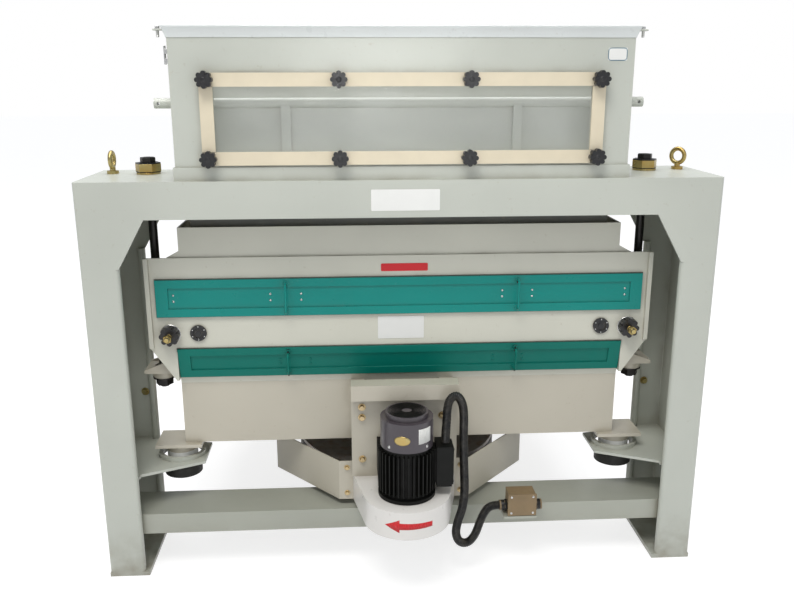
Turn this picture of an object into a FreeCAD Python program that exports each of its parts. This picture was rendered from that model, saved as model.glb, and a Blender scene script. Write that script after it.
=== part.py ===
import FreeCAD, Part
import Sketcher
import math
import os
import re

# Rotary cleaning sieve for grain: a flat gyratory screen box that hangs on four rods
# from two portals, with a feed box on the front portal and the drive under its front.
# Millimetres, +Z up, feed end towards -Y. The origin is on the floor, midway between
# the portals and midway across them.

document = FreeCAD.newDocument("RotarySieve")
sheet = document.addObject("Spreadsheet::Sheet", "Size")

DIMENSIONS = {
    # Portals
    "frame_width": 1700.0, "frame_height": 1133.0, "frame_length": 1900.0,
    "portal_depth": 305.0, "portal_wall": 8.0, "beam_height": 98.0,
    "leg_flange": 100.0, "leg_rounding": 10.0, "leg_bead": 11.0,
    "corner_run": 73.0, "corner_rise": 130.0,
    "foot_inset": 12.0, "foot_thickness": 12.0,
    "tube_height": 61.0, "tube_depth": 137.0, "tube_wall": 5.0,
    "tube_setback": 25.0,
    # Feed box on the front portal
    "box_setback": 20.0, "box_depth": 270.0, "box_height": 353.0,
    "box_wall": 4.0, "box_floor": 6.0, "skirt_height": 34.0, "skirt_step": 5.0,
    "rim_height": 29.0, "rim_overhang": 12.0, "rim_inset": 22.0,
    "window_low": 73.0, "window_high": 235.0,
    "window_strip": 34.0, "strip_thickness": 6.0, "pane_thickness": 5.0,
    "pane_margin": 6.0,
    "knob_core": 16.0, "knob_lobe": 6.2, "knob_lobe_circle": 15.6, "knob_height": 20.0,
    "knob_neck": 9.0, "knob_neck_height": 6.0, "knob_lobes": 8.0,
    "boss_radius": 24.0, "boss_height": 8.0,
    "chute_setback": 146.0, "chute_depth": 128.0,
    "chute_wall": 5.0, "chute_drop": 68.0, "chute_clearance": 4.0,
    # Feed gate
    "gate_setback": 100.0, "gate_shaft_height": 192.0, "gate_shaft_radius": 13.5,
    "gate_shaft_reach": 62.0, "gate_drop": 150.0, "gate_thickness": 5.0,
    "gate_end_gap": 8.0, "gate_running_gap": 0.1, "gate_rib": 12.0,
    "gate_pin_radius": 4.0,
    # Travel that everything clears
    "sway": 6.0, "sway_gap": 7.0, "seat_gap": 0.3,
    # Hanger rods
    "rod_radius": 12.0, "rod_setback": 200.0,
    "rod_top_reach": 46.0,
    "nut_width": 60.0, "nut_height": 26.0, "washer_radius": 32.0, "washer_height": 5.0,
    "lock_nut_width": 36.0, "lock_nut_height": 14.0,
    "low_nut_width": 44.0, "low_nut_height": 20.0, "low_washer_height": 3.0,
    "cup_radius": 36.0, "cup_low_radius": 30.0, "cup_height": 24.0,
    # Screen box
    "housing_setback": 170.0, "housing_end_gap": 60.0,
    "deck_slope": 4.4,
    "front_depth": 50.0, "lip_height": 13.0, "lip_thickness": 6.0,
    "rib_width": 60.0, "rib_depth": 12.0, "rib_margin": 20.0, "rib_setback": 500.0,
    "lid_setback": 320.0, "lid_margin": 30.0, "lid_thickness": 4.0,
    "door_thickness": 9.0, "door_border_side": 34.0, "door_border": 23.0,
    "door_recess": 5.0, "low_door_border": 22.0,
    "handle_radius": 3.0, "handle_bend": 9.0,
    "handle_reach": 24.0, "handle_foot": 7.0, "handle_foot_height": 2.5,
    "clamp_core": 20.0, "clamp_lobe": 7.5,
    "clamp_lobe_circle": 20.5, "clamp_height": 24.0, "clamp_washer": 26.0,
    "clamp_washer_height": 3.0, "clamp_stud": 7.5, "clamp_stud_reach": 34.0,
    "port_radius": 23.0, "port_bore": 15.0,
    "port_height": 6.0, "cheek_toe": 6.0, "cheek_depth": 24.0,
    "end_flange": 12.0, "end_flange_step": 8.0,
    "hood_depth": 180.0, "hood_height": 97.0, "hood_wall": 4.0,
    "mouth_depth": 60.0,
    "hood_gusset": 50.0, "hood_gusset_height": 34.0, "hood_gusset_toe": 5.0,
    "outlet_reach": 130.0, "outlet_wall": 6.0,
    "outlet_height": 110.0, "outlet_top_gap": 40.0, "outlet_fall": 60.0,
    "spout_half_width": 230.0, "spout_depth": 160.0, "spout_drop": 90.0,
    "spout_wall": 6.0, "spout_flange": 22.0,
    # Drive frame below the screen box
    "chassis_setback": 145.0, "chassis_depth": 700.0,
    "chassis_wall": 10.0,
    # Rod brackets on the screen box
    "bracket_thickness": 10.0,
    "bracket_depth": 100.0, "bracket_web": 40.0,
    # Limit brackets and posts
    "limit_setback": 180.0, "limit_plate": 8.0,
    "eye_setback": 210.0, "eye_ring": 20.0, "eye_wire": 6.0,
    "eye_collar": 16.0, "eye_collar_height": 8.0, "eye_neck": 8.0,
    "ring_inner": 58.0, "ring_outer": 69.0, "ring_height": 12.0, "post_radius": 44.0,
    "limit_gap_below": 20.0, "buffer_radius": 55.0, "buffer_height": 30.0,
    "limit_foot": 10.0, "limit_margin": 8.0, "limit_shoulder": 29.0, "limit_nose": 65.0,
    # Drive
    "motor_setback": -70.0, "motor_radius": 79.0, "motor_height": 147.0,
    "motor_core": 67.0, "fin_count": 36.0, "motor_flange": 10.0,
    "motor_foot_height": 92.0,
    "fan_radius": 72.0, "fan_height": 95.0,
    "grille_slot": 5.0, "grille_count": 24.0,
    "terminal_width": 42.0, "terminal_depth": 70.0,
    "terminal_height": 116.0,
    "terminal_gland": 27.0,
    "motor_plate_half": 150.0, "motor_plate_setback": 30.0, "motor_plate_thickness": 12.0,
    "hook_height": 44.0, "hook_reach": 40.0, "arm_width": 40.0,
    "cover_height": 80.0, "cover_wall": 3.0, "cover_half_width": 148.0,
    "cover_back": 47.0, "nose_radius": 120.0,
    "wing_flange": 40.0, "wing_reach_x": 197.0,
    "wing_reach_y": 220.0, "wing_thickness": 3.0,
    "wheel_setback": 430.0, "wheel_radius": 320.0, "wheel_rim": 36.0,
    "wheel_height": 56.0, "wheel_hub": 60.0, "wheel_web": 14.0, "wheel_holes": 6.0,
    "wheel_hole_radius": 42.0, "wheel_hole_circle": 172.0,
    "weight_inner": 90.0, "weight_outer": 270.0,
    "groove_pitch": 19.0, "groove_depth": 11.0, "groove_half": 7.0, "groove_floor": 3.5,
    "belt_gap": 0.5, "pulley_radius": 50.0,
    "motor_shaft_radius": 14.0,
    "wheel_bore": 30.0, "bearing_radius": 85.0,
    # Junction box and conduit
    "junction_x": 295.0, "junction_width": 78.0, "junction_depth": 55.0,
    "junction_height": 66.0, "junction_gap": 4.0,
    "junction_shelf_reach": 12.0, "shelf_thickness": 8.0,
    "gland_radius": 15.0, "gland_length": 22.0, "gland_rise": 0.33,
    "conduit_radius": 12.5,
    # Distances that the derived sizes below keep
    "box_side_gap": 260.0, "window_side": 107.0, "chute_inset": 5.0,
    "gate_rib_inset": 280.0, "rod_inset": 150.0, "housing_side_gap": 210.0,
    "front_flare": 75.0, "door_side_gap": 27.0, "low_door_inset": 1.0, "hood_inset": 21.0,
    "limit_inset": 192.0, "outlet_inset": 80.0, "eye_inset": 50.0, "handle_inset": 361.0,
    "clamp_out": 15.0, "port_inset": 63.0, "housing_headroom": 237.0,
    "housing_low_share": 0.5971, "wheel_low_share": 0.2366, "front_low_share": 0.3186,
    "door_low_share": 0.5734, "door_share": 0.2936, "low_door_low_share": 0.0582,
    "low_door_share": 0.2493, "clamp_share": 0.4293, "port_share": 0.4377,
    "cheek_rise": 15.0, "bracket_rise": 27.0, "bracket_tip": 45.0, "rod_tail": 54.0,
    "cover_below_wheel": 12.0, "chassis_share": 0.4210422,
    "limit_share": 0.588235294, "wing_gap": 28.0, "rib_back_gap": 540.0,
    "tube_below_wheel": 92.0, "terminal_rise": 30.0, "hook_gap": 4.0,
    "junction_rise": 52.0, "motor_foot_gap": 30.0, "motor_foot_width": 42.0,
    "fin_thickness": 3.5, "fan_crown": 14.0, "weight_angle": 120.0, "bearing_gap": 12.0,
    "bearing_flange": 108.0, "bearing_flange_height": 40.0, "eye_neck_height": 10.0,
    "junction_lid": 4.0, "pulley_height": 48.0, "pulley_running_gap": 0.1,
}
# Sizes that follow from the ones above, across first and then from the floor up
DERIVED = {
    "box_half_width": "frame_width / 2 - box_side_gap",
    "window_half_width": "box_half_width - window_side",
    "knob_pitch": "(window_half_width + window_strip / 2) / 3",
    "chute_half_width": "box_half_width - chute_inset",
    "gate_rib_place": "box_half_width - gate_rib_inset",
    "rod_spacing": "frame_width - 2 * rod_inset",
    "housing_half_width": "frame_width / 2 - housing_side_gap",
    "front_half_width": "housing_half_width + front_flare",
    "door_half_width": "front_half_width - door_side_gap",
    "low_door_half_width": "housing_half_width - low_door_inset",
    "handle_place": "door_half_width - handle_inset",
    "clamp_x": "housing_half_width + clamp_out",
    "port_x": "housing_half_width - port_inset",
    "hood_half_width": "housing_half_width - hood_inset",
    "outlet_half_width": "housing_half_width - outlet_inset",
    "limit_x": "frame_width / 2 - limit_inset",
    "eye_x": "frame_width / 2 - eye_inset",
    "housing_top": "frame_height - housing_headroom",
    "housing_low": "housing_top * housing_low_share",
    "housing_height": "housing_top - housing_low",
    "front_low": "housing_low + housing_height * front_low_share",
    "door_low": "housing_low + housing_height * door_low_share",
    "door_height": "housing_height * door_share",
    "low_door_low": "housing_low + housing_height * low_door_low_share",
    "low_door_height": "housing_height * low_door_share",
    "clamp_z": "housing_low + housing_height * clamp_share",
    "port_z": "housing_low + housing_height * port_share",
    "cheek_low": "housing_low + cheek_rise",
    "bracket_height": "housing_low + bracket_rise",
    "rod_low_end": "bracket_height - rod_tail",
    "wheel_low": "housing_top * wheel_low_share",
    "cover_low": "wheel_low - cover_below_wheel",
    "chassis_low": "wheel_low + (housing_low - wheel_low) * chassis_share",
    "limit_height": "wheel_low + (chassis_low - wheel_low) * limit_share",
    "wing_height": "chassis_low - cover_low - wing_gap",
    "rib_pitch": "(frame_length - rib_setback - rib_back_gap - rib_width) / 2",
    "tube_floor_gap": "wheel_low - tube_below_wheel",
    "terminal_low": "cover_low + cover_height + terminal_rise",
    "motor_plate_high": "cover_low + cover_height + motor_height + fan_height + hook_gap"
                        " + hook_height",
    "junction_low": "tube_floor_gap + junction_rise",
}
CELLS = {name: str(value) for name, value in DIMENSIONS.items()}
CELLS.update({name: "=" + formula for name, formula in DERIVED.items()})
for row, name in enumerate(CELLS, start=1):
    sheet.set(f"A{row}", name)
    sheet.setAlias(f"B{row}", name)
for row, content in enumerate(CELLS.values(), start=1):
    sheet.set(f"B{row}", content)
document.recompute()

WORD = re.compile(r"[a-z]+(?:_[a-z]+)*")


def bound(formula):
    """Write a formula of alias names the way an expression reads them from the sheet."""
    return WORD.sub(lambda match: "Size." + match.group(0)
                    if match.group(0) in CELLS else match.group(0), str(formula))


def number(formula):
    """The value that a formula of alias names has now."""
    value = sheet.evalExpression(bound(formula))
    return float(getattr(value, "Value", value))


FRONT = "(-frame_length / 2)"
BACK = "(frame_length / 2)"


def place(thing, x="0", y="0", z="0"):
    for axis, formula in (("x", x), ("y", y), ("z", z)):
        thing.setExpression(f"Placement.Base.{axis}", bound(formula))
    return thing


def block(label, x, y, z, length, depth, height):
    """A box from its low corner and its three sizes."""
    thing = document.addObject("Part::Box", label)
    thing.setExpression("Length", bound(length))
    thing.setExpression("Width", bound(depth))
    thing.setExpression("Height", bound(height))
    return place(thing, x, y, z)


def rod(label, radius, height, x, y, z, direction=(0, 0, 1)):
    """A cylinder from the centre of its first face along a direction."""
    thing = document.addObject("Part::Cylinder", label)
    thing.setExpression("Radius", bound(radius))
    thing.setExpression("Height", bound(height))
    turn = FreeCAD.Rotation(FreeCAD.Vector(0, 0, 1), FreeCAD.Vector(*direction))
    thing.Placement = FreeCAD.Placement(FreeCAD.Vector(), turn)
    return place(thing, x, y, z)


def hexagon(label, across, height, x, y, z):
    """A hexagon nut blank from its width across flats."""
    thing = document.addObject("Part::Prism", label)
    thing.Polygon = 6
    thing.setExpression("Circumradius", bound(f"{across} / 2 / cos(30)"))
    thing.setExpression("Height", bound(height))
    return place(thing, x, y, z)


def fuse(label, things):
    joined = document.addObject("Part::MultiFuse", label)
    joined.Shapes = things
    joined.Refine = True
    return joined


def cut(label, base, tools):
    """Take one or more tools away from a base."""
    if len(tools) > 1:
        tool = document.addObject("Part::MultiFuse", label + "_tools")
        tool.Shapes = tools
    else:
        tool = tools[0]
    left = document.addObject("Part::Cut", label)
    left.Base = base
    left.Tool = tool
    left.Refine = True
    return left


def mirrored(label, thing, normal):
    """A copy on the other side of a plane through the origin."""
    copy = document.addObject("Part::Mirroring", label)
    copy.Source = thing
    copy.Base = FreeCAD.Vector()
    copy.Normal = FreeCAD.Vector(*normal)
    return copy


ACROSS = (1, 0, 0)
ALONG = (0, 1, 0)


def new_body(label):
    return document.addObject("PartDesign::Body", label)


def plane_of(body, role):
    return next(item for item in body.Origin.OriginFeatures if item.Role == role)


def new_sketch(body, name, role, offset="0", centre=("0", "0")):
    """A sketch on one of the body's planes, moved along its normal and in its plane."""
    sketch = body.newObject("Sketcher::SketchObject", name)
    sketch.AttachmentSupport = (plane_of(body, role), [""])
    sketch.MapMode = "FlatFace"
    for axis, formula in (("x", centre[0]), ("y", centre[1]), ("z", offset)):
        sketch.setExpression("AttachmentOffset.Base." + axis, bound(formula))
    return sketch


def hold(sketch, kind, geometry, end, formula):
    """Hold one end of a piece of a sketch at a formula from the sketch's origin."""
    index = sketch.addConstraint(
        Sketcher.Constraint(kind, -1, 1, geometry, end, number(formula)))
    sketch.setExpression(f"Constraints[{index}]", bound(formula))


def draw_outline(sketch, points):
    """A closed outline of straight lines through points given as formulas."""
    corners = [FreeCAD.Vector(number(u), number(v), 0) for u, v in points]
    first = sketch.GeometryCount
    count = len(points)
    for index, corner in enumerate(corners):
        sketch.addGeometry(Part.LineSegment(corner, corners[(index + 1) % count]))
    for index in range(count):
        line = first + index
        following = first + (index + 1) % count
        sketch.addConstraint(Sketcher.Constraint("Coincident", line, 2, following, 1))
    for index, (u, v) in enumerate(points):
        hold(sketch, "DistanceX", first + index, 1, u)
        hold(sketch, "DistanceY", first + index, 1, v)


def draw_circle(sketch, u, v, radius):
    centre = FreeCAD.Vector(number(u), number(v), 0)
    circle = sketch.addGeometry(
        Part.Circle(centre, FreeCAD.Vector(0, 0, 1), number(radius)))
    hold(sketch, "DistanceX", circle, 3, u)
    hold(sketch, "DistanceY", circle, 3, v)
    index = sketch.addConstraint(Sketcher.Constraint("Radius", circle, number(radius)))
    sketch.setExpression(f"Constraints[{index}]", bound(radius))


def rectangle(low_u, low_v, high_u, high_v):
    return [(low_u, low_v), (high_u, low_v), (high_u, high_v), (low_u, high_v)]


def add_feature(body, kind, sketch, length, both_ways=False, backwards=False):
    """A pad or a pocket of a sketch; its length is a formula."""
    feature = body.newObject("PartDesign::" + kind, sketch.Name + "_" + kind.lower())
    feature.Profile = sketch
    feature.setExpression("Length", bound(length))
    feature.Midplane = both_ways
    feature.Reversed = backwards
    document.recompute()
    return feature


def pad(body, role, outlines, length, offset="0", circles=(), centre=("0", "0"), **way):
    sketch = new_sketch(body, body.Name + "_profile", role, offset, centre)
    for outline in outlines:
        draw_outline(sketch, outline)
    for circle in circles:
        draw_circle(sketch, *circle)
    return add_feature(body, "Pad", sketch, length, **way)


def pocket(body, role, outlines, length, offset="0", circles=(), centre=("0", "0"), **way):
    """Cut outlines and circles into a body, and make sure that material went."""
    before = body.Shape.Volume
    sketch = new_sketch(body, body.Name + "_cut", role, offset, centre)
    for outline in outlines:
        draw_outline(sketch, outline)
    for circle in circles:
        draw_circle(sketch, *circle)
    feature = add_feature(body, "Pocket", sketch, length, **way)
    if body.Shape.Volume > before - 1.0:
        raise RuntimeError("a pocket cuts nothing in " + body.Label)
    return feature


def polar(body, feature, count):
    """Repeat a feature round the normal of its own sketch."""
    pattern = body.newObject("PartDesign::PolarPattern", body.Name + "_ring")
    pattern.Originals = [feature]
    pattern.Axis = (feature.Profile[0], ["N_Axis"])
    pattern.setExpression("Occurrences", bound(count))
    body.Tip = pattern
    document.recompute()
    return pattern


def groove(body, outline, centre):
    """Turn an outline in the YZ plane round an upright axis, and take it away."""
    before = body.Shape.Volume
    sketch = new_sketch(body, body.Name + "_groove", "YZ_Plane", "0", centre)
    draw_outline(sketch, outline)
    feature = body.newObject("PartDesign::Groove", body.Name + "_turned")
    feature.Profile = sketch
    feature.ReferenceAxis = (sketch, ["V_Axis"])
    document.recompute()
    if body.Shape.Volume > before - 1.0:
        raise RuntimeError("a groove cuts nothing in " + body.Label)
    return feature


def copy_of(label, source, x, y, z, turn_axis=(0, 0, 1), turn_formula=None):
    """A copy of a piece that was made at the origin, put in its place."""
    copy = document.addObject("App::Link", label)
    copy.LinkedObject = source
    copy.Placement = FreeCAD.Placement(
        FreeCAD.Vector(), FreeCAD.Rotation(FreeCAD.Vector(*turn_axis), 0))
    if turn_formula is not None:
        copy.Placement = FreeCAD.Placement(FreeCAD.Vector(), FreeCAD.Rotation(
            FreeCAD.Vector(*turn_axis), number(turn_formula)))
        copy.setExpression("Placement.Rotation.Angle", bound(turn_formula))
    return place(copy, x, y, z)


def round_uprights(body, feature, corners, radius):
    """Round the upright edges of a feature at the given corners seen from above."""
    names = []
    places = [(number(x), number(y)) for x, y in corners]
    for index, edge in enumerate(feature.Shape.Edges, start=1):
        ends = [vertex.Point for vertex in edge.Vertexes]
        if len(ends) != 2:
            continue
        upright = math.hypot(ends[0].x - ends[1].x, ends[0].y - ends[1].y) < 0.01
        for x, y in places:
            if upright and math.hypot(ends[0].x - x, ends[0].y - y) < 0.01:
                names.append(f"Edge{index}")
    fillet = body.newObject("PartDesign::Fillet", body.Name + "_rounding")
    fillet.Base = (feature, names)
    fillet.setExpression("Radius", bound(radius))
    document.recompute()
    return fillet


# Portal legs: channels that open towards the middle, with a rolled edge on each flange
# below the beam's corners, on thin foot plates

OUTSIDE = "frame_width / 2"
LEG_TOP = "frame_height - beam_height"
PORTAL_BACK = FRONT + " + portal_depth"

right_leg = new_body("front_right_leg")
inner_web = OUTSIDE + " - portal_wall"
inner_front = FRONT + " + portal_wall"
inner_back = PORTAL_BACK + " - portal_wall"
leg_inside = OUTSIDE + " - leg_flange"
bead_x = leg_inside + " + leg_bead"
bead_front = FRONT + " + leg_bead"
bead_back = PORTAL_BACK + " - leg_bead"
leg_pad = pad(right_leg, "XY_Plane", [[
    (bead_x, FRONT), (OUTSIDE, FRONT), (OUTSIDE, PORTAL_BACK), (bead_x, PORTAL_BACK),
    (bead_x, inner_back), (inner_web, inner_back), (inner_web, inner_front),
    (bead_x, inner_front)]], LEG_TOP)
round_uprights(right_leg, leg_pad, [(OUTSIDE, FRONT), (OUTSIDE, PORTAL_BACK)],
               "leg_rounding")
round_uprights(right_leg, right_leg.Tip, [(inner_web, inner_front), (inner_web, inner_back)],
               "leg_rounding - portal_wall")
pad(right_leg, "XY_Plane", [], LEG_TOP + " - corner_rise", circles=[
    (bead_x, bead_front, "leg_bead"), (bead_x, bead_back, "leg_bead")])
pad(right_leg, "XY_Plane", [
    rectangle(leg_inside, FRONT, bead_x, inner_front),
    rectangle(leg_inside, inner_back, bead_x, PORTAL_BACK)],
    "corner_rise", offset=LEG_TOP + " - corner_rise")
pad(right_leg, "XY_Plane", [rectangle(
    leg_inside + " - foot_inset", FRONT, OUTSIDE, PORTAL_BACK)], "foot_thickness")

# Portal beam: a channel that opens downwards, with sloped corners in its two faces

beam = new_body("portal_beam")
right_half = [
    ("0", LEG_TOP), (leg_inside + " - corner_run", LEG_TOP),
    (leg_inside, LEG_TOP + " - corner_rise"), (leg_inside, LEG_TOP),
    (OUTSIDE, LEG_TOP), (OUTSIDE, "frame_height")]
left_half = [("-(" + u + ")", v) for u, v in reversed(right_half[1:])]
beam_pad = pad(beam, "XZ_Plane", [right_half + left_half], "portal_depth",
               offset="-" + FRONT, backwards=True)
round_uprights(beam, beam_pad, [
    (OUTSIDE, FRONT), (OUTSIDE, PORTAL_BACK),
    ("-" + OUTSIDE, FRONT), ("-" + OUTSIDE, PORTAL_BACK)], "leg_rounding")
pocket(beam, "YZ_Plane", [rectangle(
    inner_front, LEG_TOP + " - corner_rise - 1", inner_back,
    "frame_height - portal_wall")], "frame_width - 2 * portal_wall", both_ways=True)
ROD_X = "rod_spacing / 2"
ROD_HOLE = "rod_radius + sway + sway_gap"
ROD_Y = FRONT + " + rod_setback"
pocket(beam, "XY_Plane", [], "portal_wall + 1", offset="frame_height",
       circles=[(ROD_X, ROD_Y, ROD_HOLE), ("-" + ROD_X, ROD_Y, ROD_HOLE)])
rear_beam = mirrored("rear_beam", beam, ALONG)

chute_front = FRONT + " + chute_setback"
chute_back = chute_front + " + chute_depth"
feed_opening = block(
    "feed_opening", "-chute_half_width - chute_clearance", chute_front + " - chute_clearance",
    "frame_height - 2 * portal_wall", "2 * (chute_half_width + chute_clearance)",
    "chute_depth + 2 * chute_clearance", "4 * portal_wall")
front_beam = cut("front_beam", beam, [feed_opening])

# Low cross tube between the legs

cross_tube = new_body("cross_tube")
TUBE_TOP = "tube_floor_gap + tube_height"
tube_front = FRONT + " + tube_setback"
tube_back = tube_front + " + tube_depth"
TUBE_LENGTH = "frame_width - 2 * portal_wall"
pad(cross_tube, "YZ_Plane", [
    rectangle(tube_front, "tube_floor_gap", tube_back, TUBE_TOP),
    rectangle(tube_front + " + tube_wall", "tube_floor_gap + tube_wall",
              tube_back + " - tube_wall", TUBE_TOP + " - tube_wall")],
    TUBE_LENGTH, both_ways=True)

# Limit bracket: a plate in the leg with a raised ring round its hole

limit_bracket = new_body("front_right_limit_bracket")
limit_y = FRONT + " + limit_setback"
bracket_tip = "limit_x - ring_outer - limit_margin"
corner = "leg_rounding - portal_wall"
past_bead = leg_inside + " + 2 * leg_bead"
pad(limit_bracket, "XY_Plane", [[
    (inner_web + " - (" + corner + ")", inner_front), (past_bead, inner_front),
    (past_bead, FRONT + " + 2 * leg_bead"), (leg_inside, FRONT + " + 2 * leg_bead"),
    (leg_inside, inner_front + " + limit_shoulder"),
    (bracket_tip, limit_y + " - limit_nose"), (bracket_tip, limit_y + " + limit_nose"),
    (leg_inside, PORTAL_BACK + " - 2 * leg_bead"),
    (past_bead, PORTAL_BACK + " - 2 * leg_bead"), (past_bead, inner_back),
    (inner_web + " - (" + corner + ")", inner_back),
    (inner_web, inner_back + " - (" + corner + ")"),
    (inner_web, inner_front + " + " + corner)]],
    "limit_plate", offset="limit_height")
pad(limit_bracket, "XY_Plane", [], "ring_height", offset="limit_height + limit_plate",
    circles=[("limit_x", limit_y, "ring_outer")])
pocket(limit_bracket, "XY_Plane", [], "limit_plate + ring_height",
       offset="limit_height + limit_plate + ring_height",
       circles=[("limit_x", limit_y, "ring_inner")])

# Feed box: walls with a front window, a proud skirt at its foot and a rim on top

BOX_FLOOR = "frame_height"
BOX_TOP = "frame_height + box_height"
box_front = FRONT + " + box_setback"
box_back = box_front + " + box_depth"
feed_box = new_body("feed_box")
pad(feed_box, "XY_Plane", [rectangle(
    "-box_half_width", box_front, "box_half_width", box_back)], "box_height",
    offset=BOX_FLOOR)
pad(feed_box, "XY_Plane", [rectangle(
    "-box_half_width - skirt_step", box_front + " - skirt_step",
    "box_half_width + skirt_step", box_back + " + skirt_step")], "skirt_height",
    offset=BOX_FLOOR)
gate_y = box_front + " + gate_setback"
GATE_Z = BOX_FLOOR + " + gate_shaft_height"
pad(feed_box, "YZ_Plane", [], "2 * (box_half_width + boss_height)", both_ways=True,
    circles=[(gate_y, GATE_Z, "boss_radius")])
pocket(feed_box, "XY_Plane", [rectangle(
    "-box_half_width + box_wall", box_front + " + box_wall",
    "box_half_width - box_wall", box_back + " - box_wall")], "box_height - box_floor",
    offset=BOX_TOP)
pocket(feed_box, "XY_Plane", [rectangle(
    "-chute_half_width + chute_wall", chute_front + " + chute_wall",
    "chute_half_width - chute_wall", chute_back + " - chute_wall")], "2 * box_floor",
    offset=BOX_FLOOR + " + box_floor")
pocket(feed_box, "XZ_Plane", [rectangle(
    "-window_half_width", BOX_FLOOR + " + window_low",
    "window_half_width", BOX_FLOOR + " + window_high")], "2 * box_wall",
    offset="-(" + box_front + " - box_wall)", backwards=False)
pocket(feed_box, "YZ_Plane", [], "3 * box_half_width", both_ways=True,
       circles=[(gate_y, GATE_Z, "gate_shaft_radius + gate_running_gap")])

rim = new_body("feed_box_rim")
pad(rim, "XY_Plane", [
    rectangle("-box_half_width - rim_overhang", box_front + " - rim_overhang",
              "box_half_width + rim_overhang", box_back + " + rim_overhang"),
    rectangle("-box_half_width + rim_inset", box_front + " + rim_inset",
              "box_half_width - rim_inset", box_back + " - rim_inset")],
    "rim_height", offset=BOX_TOP)

pane_reach = "window_half_width + window_strip - pane_margin"
window_pane = block(
    "window_pane", "-(" + pane_reach + ")", box_front + " - pane_thickness",
    BOX_FLOOR + " + window_low - window_strip + pane_margin", "2 * (" + pane_reach + ")",
    "pane_thickness", "window_high - window_low + 2 * (window_strip - pane_margin)")
window_frame = new_body("window_frame")
pad(window_frame, "XZ_Plane", [
    rectangle("-window_half_width - window_strip", BOX_FLOOR + " + window_low - window_strip",
              "window_half_width + window_strip",
              BOX_FLOOR + " + window_high + window_strip"),
    rectangle("-window_half_width", BOX_FLOOR + " + window_low",
              "window_half_width", BOX_FLOOR + " + window_high")],
    "strip_thickness", offset="-(" + box_front + " - pane_thickness)")


def star_knob(label, core, lobe, lobe_circle, height, neck, neck_height):
    """A knob with eight lobes that stands on a neck, at the origin along +Z."""
    knob = new_body(label)
    pad(knob, "XY_Plane", [], neck_height, circles=[("0", "0", neck)])
    pad(knob, "XY_Plane", [], height, offset=neck_height, circles=[("0", "0", core)])
    lobes = pad(knob, "XY_Plane", [], height, offset=neck_height,
                circles=[(lobe_circle, "0", lobe)])
    polar(knob, lobes, "knob_lobes")
    return knob


window_knob = star_knob("window_knob", "knob_core", "knob_lobe", "knob_lobe_circle",
                        "knob_height", "knob_neck", "knob_neck_height")
knobs = []
for row_name, knob_z in (("low", "window_low - window_strip / 2"),
                         ("high", "window_high + window_strip / 2")):
    for column in (-3, -1, 1, 3):
        knobs.append(copy_of(
            f"window_knob_{row_name}_{column + 4}", window_knob, f"{column} * knob_pitch",
            box_front + " - pane_thickness - strip_thickness",
            BOX_FLOOR + " + " + knob_z, ACROSS, "90 deg"))
window_knobs = document.addObject("Part::Compound", "window_knobs")
window_knobs.Links = knobs

# Feed chute below the box, with a skirt that dips into the inlet hood

feed_chute = new_body("feed_chute")
CHUTE_LOW = LEG_TOP + " - chute_drop"
pad(feed_chute, "XY_Plane", [
    rectangle("-chute_half_width", chute_front, "chute_half_width", chute_back),
    rectangle("-chute_half_width + chute_wall", chute_front + " + chute_wall",
              "chute_half_width - chute_wall", chute_back + " - chute_wall")],
    "beam_height + chute_drop", offset=CHUTE_LOW)

# Feed gate: a flap with two ribs on a shaft that turns in the box's side walls

SHAFT_REACH = "box_half_width + gate_shaft_reach"
gate_shaft = cut("gate_shaft", rod(
    "gate_bar", "gate_shaft_radius", "2 * (" + SHAFT_REACH + ")",
    "-(" + SHAFT_REACH + ")", gate_y, GATE_Z, direction=(1, 0, 0)), [
        rod(f"gate_pin_{name}", "gate_pin_radius", "3 * gate_shaft_radius",
            sign + "(" + SHAFT_REACH + " - 3 * gate_pin_radius)",
            gate_y + " - 1.5 * gate_shaft_radius", GATE_Z, direction=(0, 1, 0))
        for name, sign in (("left", "-"), ("right", ""))])
FLAP_HALF = "(box_half_width - box_wall - gate_end_gap)"
flap_pieces = [block(
    "flap_plate", "-" + FLAP_HALF, gate_y + " - gate_thickness / 2",
    GATE_Z + " - gate_drop", "2 * " + FLAP_HALF, "gate_thickness", "gate_drop")]
for name, sign in (("left", -1), ("right", 1)):
    flap_pieces.append(block(
        f"flap_rib_{name}", f"{sign} * gate_rib_place - gate_rib",
        gate_y + " - gate_rib", GATE_Z + " - gate_drop",
        "2 * gate_rib", "gate_rib", "gate_drop"))
gate_flap = cut("gate_flap", fuse("flap_blank", flap_pieces), [rod(
    "flap_seat", "gate_shaft_radius", "2 * (" + SHAFT_REACH + ")",
    "-(" + SHAFT_REACH + ")", gate_y, GATE_Z, direction=(1, 0, 0))])

# Screen box: a closed housing that falls towards the outlet, open under the inlet hood

FALL = "tan(deck_slope)"
housing_front = FRONT + " + housing_setback"
housing_back = BACK + " + housing_end_gap"
housing = new_body("screen_housing")
pad(housing, "YZ_Plane", [[
    (housing_front, "housing_low"), (housing_front, "housing_top"),
    (housing_back, "housing_top - (frame_length + housing_end_gap - housing_setback) * "
     + FALL),
    (housing_back, "housing_low - (frame_length + housing_end_gap - housing_setback) * "
     + FALL)]], "2 * housing_half_width", both_ways=True)
front_y = FRONT + " + housing_setback - front_depth"
hood_back = front_y + " + hood_depth"
pocket(housing, "XY_Plane", [rectangle(
    "-hood_half_width + hood_wall", housing_front + " + hood_wall",
    "hood_half_width - hood_wall", hood_back + " - hood_wall")],
    "mouth_depth", offset="housing_top")


def housing_line(level, y):
    """The height of the housing's top or underside at a distance along it."""
    return f"({level} - ({y} - ({housing_front})) * {FALL})"


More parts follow.
